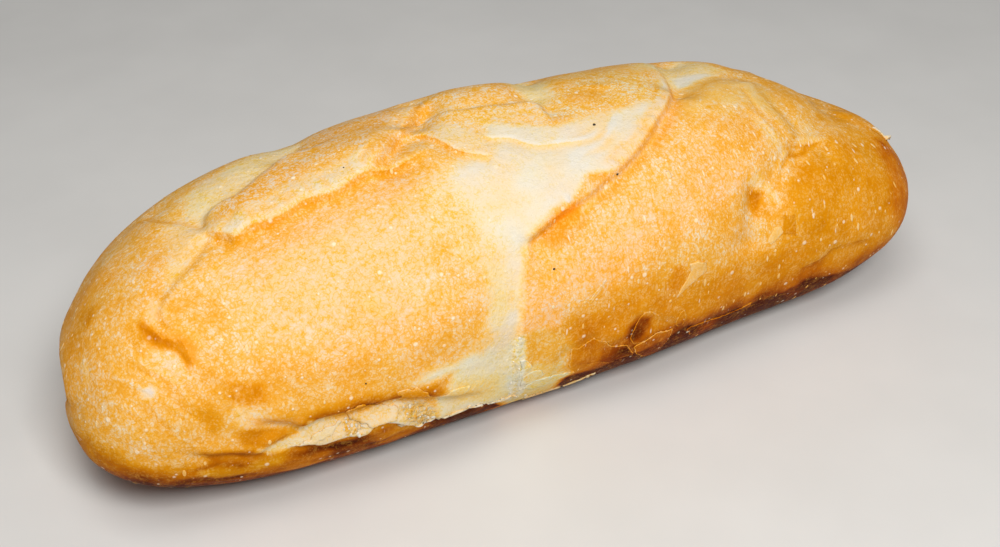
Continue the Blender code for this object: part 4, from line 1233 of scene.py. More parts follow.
class Shader(Tree):
    """A material's node tree, with what crust needs."""

    def __init__(self, name: str) -> None:
        """Start a material.

        Args:
            name: Its name.
        """
        self.material = bpy.data.materials.new(name)
        self.material.use_nodes = True
        super().__init__(self.material.node_tree)
        self.where = self.node("ShaderNodeTexCoord").outputs["Object"]

    def attribute(self, name: str) -> Field:
        """A number that is stored on the mesh."""
        return self.field("ShaderNodeAttribute", {"attribute_name": name}, out="Fac")

    def place(self, drawn: float, shift: tuple[float, float, float]) -> Field:
        """Where a texture is read.

        Args:
            drawn: 1 in the object's own space, less on the flat skin, drawn out.
            shift: How far it is moved.

        Returns:
            The texture's coordinates.
        """
        where = self.where
        if drawn != 1.0:
            where = self.node("ShaderNodeAttribute", {"attribute_name": "skin"}).outputs["Vector"]
            scales = {0: where, 1: (1.0, drawn, 1.0)}
            where = self.node("ShaderNodeVectorMath", {"operation": "MULTIPLY"}, scales).outputs[0]
        return self.field("ShaderNodeVectorMath", {"operation": "ADD"}, {0: where, 1: shift})

    def noise(self, mottle: Mottle) -> Field:
        """A mottle's noise, from about -1 to 1.

        Args:
            mottle: The mottle.

        Returns:
            The noise.
        """
        sockets = {
            "Vector": self.place(mottle.drawn, (mottle.shift,) * 3),
            "Scale": 1 / (mottle.size * MM),
            "Detail": mottle.detail,
            "Roughness": 0.55,
        }
        return self.field("ShaderNodeTexNoise", None, sockets) * 4.0 - 2.0

    def uneven(self, mottle: Mottle) -> Field:
        """A mottle's noise times its share."""
        return mottle.share * self.noise(mottle)

    def threads(self, mottle: Mottle, width: float) -> Field:
        """1 along thin winding threads in a mottle, 0 at their width beside them."""
        return 1.0 - self.between(self.noise(mottle).math("ABSOLUTE"), 0.0, width)

    def between(self, x: Any, low: Any, high: Any, to_low: float = 0.0, to_high: float = 1.0) -> Field:
        """A smooth step of a field from low to high."""
        sockets = {"Value": x, "From Min": low, "From Max": high, "To Min": to_low, "To Max": to_high}
        return self.field("ShaderNodeMapRange", {"interpolation_type": "SMOOTHSTEP"}, sockets)

    def dots(self, dots: Dots) -> Field:
        """1 inside a dot and 0 outside.

        Args:
            dots: The dots.

        Returns:
            The field.
        """
        sockets = {"Vector": self.place(dots.drawn, dots.shift), "Scale": 1 / (dots.cell * MM)}
        cells = self.node("ShaderNodeTexVoronoi", {"feature": "F1"}, sockets)
        chance = self.field("ShaderNodeSeparateColor", None, {"Color": cells.outputs["Color"]}, out="Red")
        largest = dots.radius / dots.cell
        reach = self.between(chance, 1 - dots.share, 1.0, 0.0, largest)
        return self.between(reach - Field(self, cells.outputs["Distance"]), 0.0, 0.5 * largest)

    def browned(self, tone: Any) -> Field:
        """The colour of crust that is baked to a tone."""
        return self.field("ShaderNodeValToRGB", {"stops": BAKED}, {"Fac": tone})

    def mix(self, factor: Any, first: Any, second: Any, blend: str = "MIX") -> Field:
        """Two colours mixed.

        Args:
            factor: How much the second one counts.
            first: A colour.
            second: Another.
            blend: How they are mixed.

        Returns:
            The colour.
        """
        settings = {"data_type": "RGBA", "blend_type": blend}
        sockets = {"Factor_Float": factor, "A_Color": first, "B_Color": second}
        return self.field("ShaderNodeMix", settings, sockets, out="Result_Color")

    def finish(
        self, colour: Any, roughness: Any, height: Field | None = None, specular: float = 0.5
    ) -> bpy.types.Material:
        """The surface itself.

        Args:
            colour: The base colour.
            roughness: The roughness.
            height: The relief, in millimetres, or None.
            specular: How strongly it shines.

        Returns:
            The material.
        """
        sockets = {"Base Color": colour, "Roughness": roughness, "Specular IOR Level": specular}
        if height is not None:
            bump = self.field("ShaderNodeBump", None, {"Height": height, "Distance": MM, "Strength": 1.0})
            sockets["Normal"] = bump
        surface = self.node("ShaderNodeBsdfPrincipled", None, sockets)
        self.node("ShaderNodeOutputMaterial", None, {"Surface": surface.outputs[0]})
        return self.material


def paint(red: int, green: int, blue: int) -> Colour:
    """A colour from its screen values, 0 to 255, as the light it throws back."""
    return tuple(((c / 255 + 0.055) / 1.055) ** 2.4 if c > 10 else c / 3294 for c in (red, green, blue))


BAKED = (
    (0.00, paint(226, 219, 203)),
    (0.15, paint(236, 211, 164)),
    (0.30, paint(241, 201, 134)),
    (0.45, paint(241, 187, 100)),
    (0.60, paint(236, 170, 66)),
    (0.70, paint(229, 155, 30)),
    (0.80, paint(214, 135, 5)),
    (0.88, paint(189, 105, 0)),
    (0.94, paint(142, 65, 0)),
    (1.00, paint(80, 26, 0)),
)
HUES = (
    (0.0, (0.97, 1.08, 0.88)),
    (0.5, (1.0, 1.0, 1.0)),
    (0.88, (1.05, 0.89, 0.83)),
    (1.0, (1.22, 0.86, 0.45)),
)


@dataclass(frozen=True)
class CrustFinish:
    """Baked crust: mottled, blistered and a little glossy.

    A pair of edges says from which value to which a change runs. A pair of heights is the relief
    on glossy crust and what pale, dull crust adds to it.
    """

    name: str = "crust"
    # along the folds' edges, in millimetres
    edge_stray: Mottle = Mottle(1.1, share=0.22)
    lip_edges: Place = (-0.2, 0.2)
    line_edges: Place = (0.1, 0.5)
    rim_start: Place = (0.1, 0.4)
    rim_end: Place = (0.6, 1.5)
    # what changes the tone
    haze: Mottle = Mottle(13.0, 3.0, 4.9, 0.085)
    torn: Mottle = Mottle(1.2, 3.0, 8.3)
    torn_tone: float = 0.25
    stretch_tone: float = 0.13
    # how much the thin line in the creases darkens the tone: painted shade
    line_shade_tone: float = 0.45
    rim_tone: float = 0.35
    # the pale dust in the skin
    grain: Mottle = Mottle(0.6, share=0.45)
    speckle: Mottle = Mottle(1.7, shift=2.6, share=0.42)
    cloud: Mottle = Mottle(4.5, 3.0, 1.7, 0.42)
    thread: Mottle = Mottle(1.5, 1.0, 3.4, 0.72)
    thread_width: float = 0.4
    thread_level: float = 0.38
    strand: Mottle = Mottle(0.8, share=0.42, drawn=0.3)
    scratch: Mottle = Mottle(2.4, 1.0, 6.1, 0.5, 0.14)
    scratch_width: float = 0.14
    scratched: Mottle = Mottle(8.0, shift=2.2)
    scratched_edges: Place = (0.1, 0.7)
    dust_edges: Place = (0.4, 0.95)
    dust_shares: Place = (1.0, 0.32)
    dusty_step: float = 0.41
    dusty_least: float = 0.07
    # what shows deeper than the crust
    pits: Dots = Dots(1.5, 0.34, 0.45, shift=(0.0004, 0.0011, 0.0007))
    pit_share: float = 0.3
    deep_share: float = 1.25
    deep_edges: Place = (-0.05, 0.15)
    deep_shares: Place = (0.35, 1.0)
    deeper: Colour = (0.96, 0.80, 0.18)
    # white marks of small blisters
    beads: tuple[Dots, ...] = (Dots(4.2, 0.95, 0.5), Dots(2.2, 0.55, 0.35))
    streaks: Dots = Dots(1.8, 0.5, 0.25, 0.3)
    mark_share: float = 0.6
    pale: Colour = paint(255, 240, 210)
    # hue, gloss and relief
    warm_haze: Mottle = Mottle(14.0, 2.0, 5.3, 0.10)
    roughness: float = 0.46
    pale_roughness: float = 0.68
    rough_edges: Place = (0.1, 0.7)
    rough_grain: float = 0.06
    gloss: float = 0.02
    dull_edges: Place = (0.5, 0.2)
    grain_heights: Place = (0.03, 0.02)
    lump: Mottle = Mottle(2.4, 3.0, 7.9)
    lump_heights: Place = (0.06, 0.05)
    strand_height: float = 0.04
    mark_height: float = 0.10
    torn_height: float = 0.35
    rim_height: float = 0.15
    line_height: float = -0.25

    def material(self) -> bpy.types.Material:
        """The finish as a material.

        Returns:
            The material.
        """
        s = Shader(self.name)
        grain, streaky = s.attribute("grain"), s.attribute("streaks")
        crease = s.attribute("crease") + s.uneven(self.edge_stray)
        line = s.attribute("line") * (1.0 - s.between(crease.math("ABSOLUTE"), *self.line_edges))
        rim = s.attribute("rim") * s.between(crease, *self.rim_start)
        rim = rim * (1.0 - s.between(crease, *self.rim_end))
        torn = s.attribute("rough") * s.noise(self.torn)
        mottle, strands = s.noise(self.grain), s.noise(self.strand)
        marks = grain * (s.dots(self.beads[0]) + s.dots(self.beads[1]) + s.dots(self.streaks) * streaky)
        # the floor's tone is partly browning and partly painted shade under the lips
        lip, floor = s.attribute("lip_tone"), s.attribute("floor_tone")
        tone = s.attribute("tone") + floor + s.between(crease, *self.lip_edges) * (lip - floor)
        tone = tone + s.uneven(self.haze) - s.attribute("stretch") * self.stretch_tone
        # the line is painted shade along the creases
        tone = tone + torn * self.torn_tone + line * self.line_shade_tone - rim * self.rim_tone
        dust = self.dust(s, mottle, strands, streaky) * grain
        dust = dust * s.between(tone, *self.dust_edges, *self.dust_shares)
        colour = self.colour(s, tone, dust, grain)
        colour = s.mix(marks * self.mark_share, colour, (*self.pale, 1.0))
        rough = s.between(tone, *self.rough_edges, self.pale_roughness, self.roughness)
        dull = s.between(tone, *self.dull_edges)
        relief = (self.grain_heights[0] + self.grain_heights[1] * dull) * mottle
        relief = relief + (self.lump_heights[0] + self.lump_heights[1] * dull) * s.noise(self.lump)
        relief = relief + self.strand_height * strands * streaky + self.mark_height * marks
        relief = relief + self.torn_height * torn + self.rim_height * rim + self.line_height * line
        return s.finish(colour, rough + self.rough_grain * mottle, relief, self.gloss)

    def dust(self, s: Shader, mottle: Field, strands: Field, streaky: Field) -> Field:
        """How much paler the skin's unevenness makes each place, before its tone and grain count.

        Args:
            s: The shader.
            mottle: The grain's noise.
            strands: The strands' noise.
            streaky: How streaked the skin is.

        Returns:
            The share of the paler colour.
        """
        dust = mottle * self.grain.share + s.uneven(self.speckle) + s.uneven(self.cloud)
        threads = s.threads(self.thread, self.thread_width)
        dust = dust - (threads - self.thread_level) * self.thread.share
        scratches = s.threads(self.scratch, self.scratch_width)
        scratches = scratches * s.between(s.noise(self.scratched), *self.scratched_edges)
        return dust + streaky * (strands * self.strand.share + scratches * self.scratch.share)

    def colour(self, s: Shader, tone: Field, dust: Field, grain: Field) -> Field:
        """The crust's colour, with its dust, its hue and what shows deeper.

        Args:
            s: The shader.
            tone: How far it is baked.
            dust: The share of the paler colour.
            grain: How much of the grain shows.

        Returns:
            The colour.
        """
        least, step = self.dusty_least, self.dusty_step
        dusty = s.browned(s.between(tone, least + step, 1.0, least, 1.0 - step))
        hue = s.attribute("warmth") * 0.5 + 0.5 + s.uneven(self.warm_haze)
        tint = s.field("ShaderNodeValToRGB", {"stops": HUES}, {"Fac": hue})
        colour = s.mix(1.0, s.mix(dust, s.browned(tone), dusty), tint, "MULTIPLY")
        deep = grain * s.dots(self.pits) * self.pit_share - dust * self.deep_share
        deep = deep * s.between(tone, *self.deep_edges, *self.deep_shares)
        return s.mix(deep, colour, s.mix(1.0, colour, (*self.deeper, 1.0), "MULTIPLY"))


@dataclass(frozen=True)
class BlisterFinish:
    """The pale skin of a small blister."""

    name: str = "blister_skin"
    stain: Mottle = Mottle(0.8, share=0.06)
    roughness: float = 0.42
    smear: Mottle = Mottle(0.6, share=0.05)
    relief: Mottle = Mottle(0.5, share=0.03)
    gloss: float = 0.15

    def material(self) -> bpy.types.Material:
        """The finish as a material.

        Returns:
            The material.
        """
        s = Shader(self.name)
        colour = s.browned(s.attribute("pale") + s.uneven(self.stain))
        return s.finish(colour, self.roughness + s.uneven(self.smear), s.uneven(self.relief), self.gloss)


@dataclass(frozen=True)
class CrumbFinish:
    """Torn white crumb and the thin pale skin beside it."""

    name: str = "torn_crumb"
    tone: float = 0.0
    stain: Mottle = Mottle(1.4, share=0.08)
    roughness: float = 0.7
    smear: Mottle = Mottle(0.9, share=0.05)
    relief: Mottle = Mottle(0.7, 3.0, share=0.08)
    gloss: float = 0.1

    def material(self) -> bpy.types.Material:
        """The finish as a material.

        Returns:
            The material.
        """
        s = Shader(self.name)
        colour = s.browned(self.tone + s.uneven(self.stain))
        return s.finish(colour, self.roughness + s.uneven(self.smear), s.uneven(self.relief), self.gloss)


@dataclass(frozen=True)
class SpeckFinish:
    """A burnt speck."""

    name: str = "burnt_speck"
    dark: Colour = paint(30, 22, 12)
    light: Colour = paint(70, 52, 30)
    stain: Mottle = Mottle(0.4)
    roughness: float = 0.6
    smear: Mottle = Mottle(0.4, share=0.1)
    relief: Mottle = Mottle(0.3, share=0.05)

    def material(self) -> bpy.types.Material:
        """The finish as a material.

        Returns:
            The material.
        """
        s = Shader(self.name)
        shade = s.between(s.noise(self.stain), -1.0, 1.0)
        colour = s.mix(shade, (*self.dark, 1.0), (*self.light, 1.0))
        return s.finish(colour, self.roughness + s.uneven(self.smear), s.uneven(self.relief))


@dataclass(frozen=True)
class FloorFinish:
    """A plain pale floor."""

    name: str = "floor"
    dark: Colour = paint(214, 212, 208)
    light: Colour = paint(219, 217, 213)
    cloud: Mottle = Mottle(60.0, 3.0)
    roughness: float = 0.8

    def material(self) -> bpy.types.Material:
        """The finish as a material.

        Returns:
            The material.
        """
        s = Shader(self.name)
        shade = s.between(s.noise(self.cloud), -1.0, 1.0)
        colour = s.mix(shade, (*self.dark, 1.0), (*self.light, 1.0))
        return s.finish(colour, self.roughness)


# -------------------- pieces


class Thinning(Enum):
    """How fine the crust's grid is, and how many triangles it is thinned to."""

    FULL = (740, 560, 196000)
    QUICK = (420, 320, 120000)

    def __init__(self, rings: int, ring_points: int, triangles: int) -> None:
        """Name the values of a choice.

        Args:
            rings: The rings along the loaf.
            ring_points: The points of each ring.
            triangles: The crust's triangles in the end.
        """
        self.rings = rings
        self.ring_points = ring_points
        self.triangles = triangles


def plain_mesh(source: bpy.types.Object) -> bpy.types.Mesh:
    """An object's evaluated mesh, as a mesh of its own."""
    view = bpy.context.evaluated_depsgraph_get()
    return bpy.data.meshes.new_from_object(source.evaluated_get(view))


def store_paint(mesh: bpy.types.Mesh, paint: dict[str, Array], flat: Array) -> None:
    """Store the paint, and where each point lies on the flat skin, on a mesh's points.

    Args:
        mesh: The mesh.
        paint: A value for each point, by name.
        flat: The points' places, in millimetres.
    """
    for name, values in paint.items():
        store = mesh.attributes.new(name, "FLOAT", "POINT")
        store.data.foreach_set("value", values.astype(np.float32))
    store = mesh.attributes.new("skin", "FLOAT_VECTOR", "POINT")
    places = np.column_stack([flat * MM, np.zeros(len(flat))])
    store.data.foreach_set("vector", places.ravel().astype(np.float32))


def link(name: str, mesh: bpy.types.Mesh) -> bpy.types.Object:
    """A new object in the scene.

    Args:
        name: Its name.
        mesh: Its mesh.

    Returns:
        The object.
    """
    made = bpy.data.objects.new(name, mesh)
    bpy.context.scene.collection.objects.link(made)
    return made


@dataclass(frozen=True)
class Marking:
    """Where the crust is streaked and blistered. An edge is its start and its width."""

    lobe_left: Place = (-20, 10)
    lobe_right: Place = (140, -20)
    front_top: Place = (70, -20)
    front_foot: Place = (-25, 15)
    end_right: Place = (-112, -12)
    end_top: Place = (110, -20)
    end_share: float = 0.8
    least_streaks: float = 0.25
    baked: Place = (0.36, 0.12)
    baked_shares: Place = (0.35, 0.65)  # everywhere, and besides on the lobe's front
    far_side: Place = (93, 12)
    far_left: Place = (-40, -30)
    far_share: float = 0.7
    foot: Place = (1.0, 2.0)  # none under the loaf

    def mark(self, skin: Skin) -> None:
        """Note how streaked and how blistered each place is.

        Args:
            skin: The skin that is painted.
        """
        along, degrees = skin.along, skin.flat[:, 1] / skin.baking.round_mm
        lobe = past(along, self.lobe_left) * past(along, self.lobe_right)
        front = past(degrees, self.front_top) * past(degrees, self.front_foot)
        end = past(along, self.end_right) * past(degrees, self.end_top)
        skin.paint["streaks"] = np.clip(lobe * front + self.end_share * end, self.least_streaks, 1.0)
        everywhere, besides = self.baked_shares
        baked = past(skin.paint["tone"], self.baked) * (everywhere + besides * lobe * front)
        far = past(degrees, self.far_side)
        beads = far * past(along, self.far_left) + self.far_share * far
        skin.paint["blistering"] = past(skin.points[:, 2], self.foot) * (baked + beads)


@dataclass
class Crust:
    """The loaf's whole crust, in place of the plain solid."""

    form: Form
    grid: Thinning
    marking: Marking = Marking()
    finish: CrustFinish = CrustFinish()
    node: str = "loaf"
    name: str = "crust"
    own_low: Array = field(init=False)
    box_low: Array = field(init=False)
    stretch: Array = field(init=False)

    def build(self) -> bpy.types.Object:
        """The crust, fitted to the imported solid's box and dressed.

        Returns:
            The finished piece.
        """
        along, turn = np.meshgrid(
            self.form.even_rings(self.grid.rings),
            np.linspace(0, 2 * math.pi, self.grid.ring_points, endpoint=False),
            indexing="ij",
        )
        skin = Skin(self.form, along.ravel(), turn.ravel())
        skin.raise_relief()
        skin.colour()
        self.marking.mark(skin)
        carrier = link("fine_crust", self.loft(skin))
        thin = carrier.modifiers.new("Fewer triangles", "DECIMATE")
        thin.ratio = self.grid.triangles / (2 * self.grid.rings * self.grid.ring_points)
        thin.use_collapse_triangulate = True
        mesh = plain_mesh(carrier)
        bpy.data.objects.remove(carrier)
        self.fit(mesh)
        mesh.name = self.name
        mesh.shade_smooth()
        mesh.materials.append(self.finish.material())
        piece = link(self.name, mesh)
        LOG.info("%s: %d triangles", self.name, len(mesh.polygons))
        return piece

    def loft(self, skin: Skin) -> bpy.types.Mesh:
        """A closed mesh over the rings, fanned shut at both ends.

        Args:
            skin: The crust on its grid.

        Returns:
            The mesh, in metres, with the paint stored on its points.
        """
        rings, around = self.grid.rings, self.grid.ring_points
        count = rings * around
        ends = skin.points.reshape(rings, around, 3)[[0, -1]].mean(axis=1)
        ends[:, 0] = (skin.points[:, 0].min(), skin.points[:, 0].max())
        points = np.vstack([skin.points, ends]) * MM
        number = np.arange(count).reshape(rings, around)
        after = np.roll(number, -1, axis=1)
        walls = np.stack([number[:-1], number[1:], after[1:], after[:-1]], axis=-1).reshape(-1, 4)
        left = np.stack([after[0], np.full(around, count), number[0]], axis=-1)
        right = np.stack([number[-1], np.full(around, count + 1), after[-1]], axis=-1)
        mesh = bpy.data.meshes.new("fine_crust")
        mesh.from_pydata(points.tolist(), [], [*walls.tolist(), *left.tolist(), *right.tolist()])
        closed = {
            name: np.concatenate([values, [values[:around].mean(), values[-around:].mean()]])
            for name, values in skin.paint.items()
        }
        store_paint(mesh, closed, np.vstack([skin.flat, skin.flat[[0, -1]]]))
        return mesh

    def placed(self, points: Array) -> Array:
        """Points of the crust, in metres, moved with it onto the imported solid's box."""
        return self.box_low + (points - self.own_low) * self.stretch

    def fit(self, mesh: bpy.types.Mesh) -> None:
        """Set the mesh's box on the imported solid's.

        Args:
            mesh: The crust's mesh.
        """
        low, high = (np.array(corner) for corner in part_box(self.node))
        points = np.empty(3 * len(mesh.vertices))
        mesh.vertices.foreach_get("co", points)
        points = points.reshape(-1, 3)
        self.own_low, own_high = points.min(axis=0), points.max(axis=0)
        self.stretch = (high - low) / (own_high - self.own_low)
        self.box_low = low
        points = self.placed(points)
        mesh.vertices.foreach_set("co", points.ravel())
        mesh.update()


@dataclass
class Sheet:
    """One flake as a sheet."""

    points: Array  # in metres
    faces: Array
    skin: Skin  # with its paint


@dataclass
class Flakes:
    """Thin plates and flakes of skin on the crust, in one piece."""

    step: float = 0.45  # between a sheet's points
    around: float = 1.5  # how far past its outline a sheet is begun
    margin: float = 0.5
    edge: float = 0.35
    depth: float = 0.3
    thickness: float = 0.45
    rag_size: float = 1.3
    clear: float = 0.2  # how far above the ground they stay
    fineness: float = 2.2  # how much thinner than a fold's its rim is
    crack: float = 0.3  # how dark the painted shade line round it is, in the crack at its edge
    grain: float = 0.4  # of a flake with a tone of its own
    seed: int = 21
    name: str = "crust_flakes"

    def build(self, crust: Crust, dressed: bpy.types.Object) -> bpy.types.Object:
        """The flakes, on the crust and of its finish.

        Args:
            crust: The crust's maker.
            dressed: The finished crust.

        Returns:
            The finished piece.
        """
        sheets = [self.sheet(crust, flake) for flake in FLAKES]
        starts = np.cumsum([0] + [len(sheet.points) for sheet in sheets])
        points = np.vstack([sheet.points for sheet in sheets])
        faces = np.vstack([sheet.faces + start for sheet, start in zip(sheets, starts)])
        mesh = bpy.data.meshes.new(self.name)
        mesh.from_pydata(points.tolist(), [], faces.tolist())
        names = sheets[0].skin.paint
        joined = {name: np.concatenate([sheet.skin.paint[name] for sheet in sheets]) for name in names}
        store_paint(mesh, joined, np.vstack([sheet.skin.flat for sheet in sheets]))
        carrier = link("flake_sheets", mesh)
        solid = carrier.modifiers.new("Thickness", "SOLIDIFY")
        solid.thickness = self.thickness * MM
        solid.offset = -1.0
        finished = plain_mesh(carrier)
        bpy.data.objects.remove(carrier)
        finished.name = self.name
        finished.shade_smooth()
        finished.materials.append(dressed.data.materials[0])
        LOG.info("%s: %d faces", self.name, len(finished.polygons))
        return link(self.name, finished)

    def sheet(self, crust: Crust, flake: Flake) -> Sheet:
        """One flake as a sheet on the crust.

        Args:
            crust: The crust's maker.
            flake: The flake.

        Returns:
            The sheet, with its paint.
        """
        skin, faces, deep = self.cut(crust.form, flake)
        skin.raise_relief()
        skin.colour()
        crust.marking.mark(skin)
        rise = (flake.thick + self.depth) * ramp(deep / self.edge * 0.5 + 0.5) - self.depth
        raised = np.array(flake.raised) * (1, skin.baking.round_mm)
        away = np.linalg.norm(skin.flat - raised, axis=1) / flake.lift_reach
        rise = rise + flake.lift * ramp(1 - away)
        points = skin.points + skin.form.outwards(skin.along, skin.turn) * rise[:, None]
        points[:, 2] = np.maximum(points[:, 2], self.clear)
        # the line round a flake is painted shade in the crack at its edge
        values = {"rim": flake.rim, "line": self.crack, "lip_tone": 0.0, "floor_tone": 0.0, "rough": 0.0}
        if flake.tone is not None:
            values |= {"tone": flake.tone, "warmth": flake.warmth, "grain": self.grain}
        for name, value in values.items():
            skin.paint[name] = np.full(len(deep), value)
        skin.paint["tone"] = skin.paint["tone"] + flake.shade
        skin.paint["crease"] = deep * self.fineness
        return Sheet(crust.placed(points * MM), faces, skin)

    def cut(self, form: Form, flake: Flake) -> tuple[Skin, Array, Array]:
        """Cut a flake's sheet out along its ragged outline.

        Args:
            form: The loaf's form.
            flake: The flake.

        Returns:
            The skin under it, its faces, and how deep inside the outline each point is.
        """
        round_mm = Baking.round_mm
        corners = np.array(flake.outline, float) * (1, round_mm)
        low, high = corners.min(axis=0) - self.around, corners.max(axis=0) + self.around
        columns, rows = (np.arange(start, end, self.step) for start, end in zip(low, high))
        flat = np.stack(np.meshgrid(columns, rows, indexing="ij"), axis=-1).reshape(-1, 2)
        turn = np.radians(flat[:, 1] / round_mm)
        skin = Skin(form, flat[:, 0], turn)
        deep = depth_inside(corners, flat) + flake.ragged * noise(skin.plain, self.rag_size, self.seed)
        number = np.arange(len(flat)).reshape(len(columns), len(rows))
        faces = np.stack([number[:-1, :-1], number[1:, :-1], number[1:, 1:], number[:-1, 1:]], axis=-1)
        faces = faces.reshape(-1, 4)
        faces = faces[(deep[faces] > -self.margin).all(axis=1)]
        used, faces = np.unique(faces, return_inverse=True)
        return Skin(form, flat[used, 0], turn[used]), faces.reshape(-1, 4), deep[used]


@dataclass
class Scatter:
    """Small lumps of one kind, scattered over the crust."""

    name: str
    where: str  # the crust's attribute that says how thick they lie
    finish: Any
    density: float  # for each square metre, where they are thickest
    smallest: float  # radius
    largest: float
    flatness: float = 0.22
    longest: float = 2.6  # length over width
    uneven: float = 0.0
    lumps_across: float = 0.6  # of that unevenness, for each radius
    roundness: int = 2  # how often a ball's faces are divided
    paleness: float = 0.5  # their tone over the crust's
    tone_spread: float = 0.08
    seed: int = 7

    def build(self, crust: bpy.types.Object) -> bpy.types.Object:
        """The lumps, on the crust.

        Args:
            crust: The finished crust.

        Returns:
            The finished piece.
        """
        group = bpy.data.node_groups.new(f"Scatter {self.name}", "GeometryNodeTree")
        self.plant(group)
        carrier = link(f"{self.name}_field", crust.data)
        spread = carrier.modifiers.new("Scatter", "NODES")
        spread.node_group = group
        given = {"Density": self.density, "Seed": self.seed, "Longest": self.longest}
        for item in group.interface.items_tree:
            if item.in_out == "INPUT" and item.name in given:
                spread[item.identifier] = given[item.name]
        mesh = plain_mesh(carrier)
        bpy.data.objects.remove(carrier)
        mesh.name = self.name
        LOG.info("%s: %d triangles", self.name, len(mesh.polygons))
        return link(self.name, mesh)

    def plant(self, group: bpy.types.NodeTree) -> None:
        """Build the tree that strews the lumps, shapes them and dresses them.

        Args:
            group: The empty tree.
        """
        tree = Tree(group)
        inputs = {"Geometry": "Geometry", "Density": "Float", "Seed": "Int", "Longest": "Float"}
        for name, kind in inputs.items():
            group.interface.new_socket(name, in_out="INPUT", socket_type=f"NodeSocket{kind}")
        group.interface.new_socket("Geometry", in_out="OUTPUT", socket_type="NodeSocketGeometry")
        given = tree.node("NodeGroupInput").outputs
        dense = self.stored(tree, self.where) * Field(tree, given["Density"])
        scatter = tree.node(
            "GeometryNodeDistributePointsOnFaces",
            {"distribute_method": "RANDOM"},
            {"Mesh": given["Geometry"], "Density": dense, "Seed": given["Seed"]},
        )
        tone = self.stored(tree, "tone") * self.paleness
        tone = tone + self.random(tree, -self.tone_spread, self.tone_spread, 1)
        marked = tree.field(
            "GeometryNodeStoreNamedAttribute",
            {"data_type": "FLOAT", "domain": "POINT"},
            {"Geometry": scatter.outputs["Points"], "Name": "pale", "Value": tone},
        )
        radius = self.random(tree, self.smallest * MM, self.largest * MM, 2)
        long = self.random(tree, 1.0, given["Longest"], 3)
        size = {"X": radius, "Y": radius * long, "Z": radius * self.flatness}
        placed = tree.field(
            "GeometryNodeInstanceOnPoints",
            None,
            {
                "Points": marked,
                "Instance": tree.field("GeometryNodeMeshIcoSphere", None, {"Subdivisions": self.roundness}),
                "Rotation": scatter.outputs["Rotation"],
                "Scale": tree.field("ShaderNodeCombineXYZ", None, size),
            },
        )
        real = tree.field("GeometryNodeRealizeInstances", None, {"Geometry": placed})
        lumpy = {
            "Vector": tree.field("GeometryNodeInputPosition"),
            "Scale": self.lumps_across / (self.largest * MM),
            "Detail": 2.0,
        }
        bump = tree.field("ShaderNodeTexNoise", None, lumpy) - 0.5
        offset = tree.field(
            "ShaderNodeVectorMath",
            {"operation": "SCALE"},
            {0: tree.field("GeometryNodeInputNormal"), "Scale": bump * (self.uneven * MM)},
        )
        moved = tree.field("GeometryNodeSetPosition", None, {"Geometry": real, "Offset": offset})
        shaded = tree.field("GeometryNodeSetShadeSmooth", None, {"Geometry": moved})
        dress = {"Geometry": shaded, "Material": self.finish.material()}
        dressed = tree.field("GeometryNodeSetMaterial", None, dress)
        tree.node("NodeGroupOutput", None, {"Geometry": dressed})

    @staticmethod
    def stored(tree: Tree, name: str) -> Field:
        """A number that is stored on the crust."""
        return tree.field("GeometryNodeInputNamedAttribute", {"data_type": "FLOAT"}, {"Name": name})

    @staticmethod
    def random(tree: Tree, low: Any, high: Any, seed: int) -> Field:
        """A random number for each point, from low to high."""
        sockets = {"Min_001": low, "Max_001": high, "Seed": seed}
        return tree.field("FunctionNodeRandomValue", {"data_type": "FLOAT"}, sockets, out="Value_001")


@dataclass
class Specks:
    """Burnt specks on the crust."""

    places: Places = ((19.5, 71), (16.7, 50), (-12.7, 25.8), (-76, 9), (-58, 83))
    sizes: tuple[float, ...] = (0.55, 0.45, 0.4, 0.3, 0.25)
    flatness: float = 0.6
    uneven: float = 0.35
    apart: float = 7.0  # from one speck's noise to the next one's
    seed: int = 61
    finish: SpeckFinish = SpeckFinish()
    name: str = "specks"

    def build(self, crust: Crust) -> bpy.types.Object:
        """The specks, on the crust.

        Args:
            crust: The crust's maker.

        Returns:
            The finished piece.
        """
        along, degrees = np.array(self.places, float).T
        skin = Skin(crust.form, along, np.radians(degrees))
        skin.raise_relief()
        seats = crust.placed(skin.points * MM)
        work = bmesh.new()
        for number, (seat, size) in enumerate(zip(seats, self.sizes)):
            made = bmesh.ops.create_icosphere(work, subdivisions=2, radius=size * MM)
            for corner in made["verts"]:
                way = np.array(corner.co)[None] / (size * MM)
                lump = 1 + self.uneven * noise(way + self.apart * number, 1.0, self.seed)[0]
                corner.co.z *= self.flatness
                corner.co = Vector(seat) + corner.co * lump
        mesh = bpy.data.meshes.new(self.name)
        work.to_mesh(mesh)
        work.free()
        mesh.shade_smooth()
        mesh.materials.append(self.finish.material())
        LOG.info("%s: %d faces", self.name, len(mesh.polygons))
        return link(self.name, mesh)


# -------------------- studio


def towards(azimuth: float, elevation: float) -> Vector:
    """The direction at an azimuth from the front, turning right, and an elevation, in degrees."""
    turn, lift = math.radians(azimuth), math.radians(elevation)
    return Vector((math.sin(turn) * math.cos(lift), -math.cos(turn) * math.cos(lift), math.sin(lift)))


@dataclass(frozen=True)
class Lamp:
    """A soft square light that faces the loaf."""

    name: str
    azimuth: float
    elevation: float
    distance: float
    size: float
    power: float


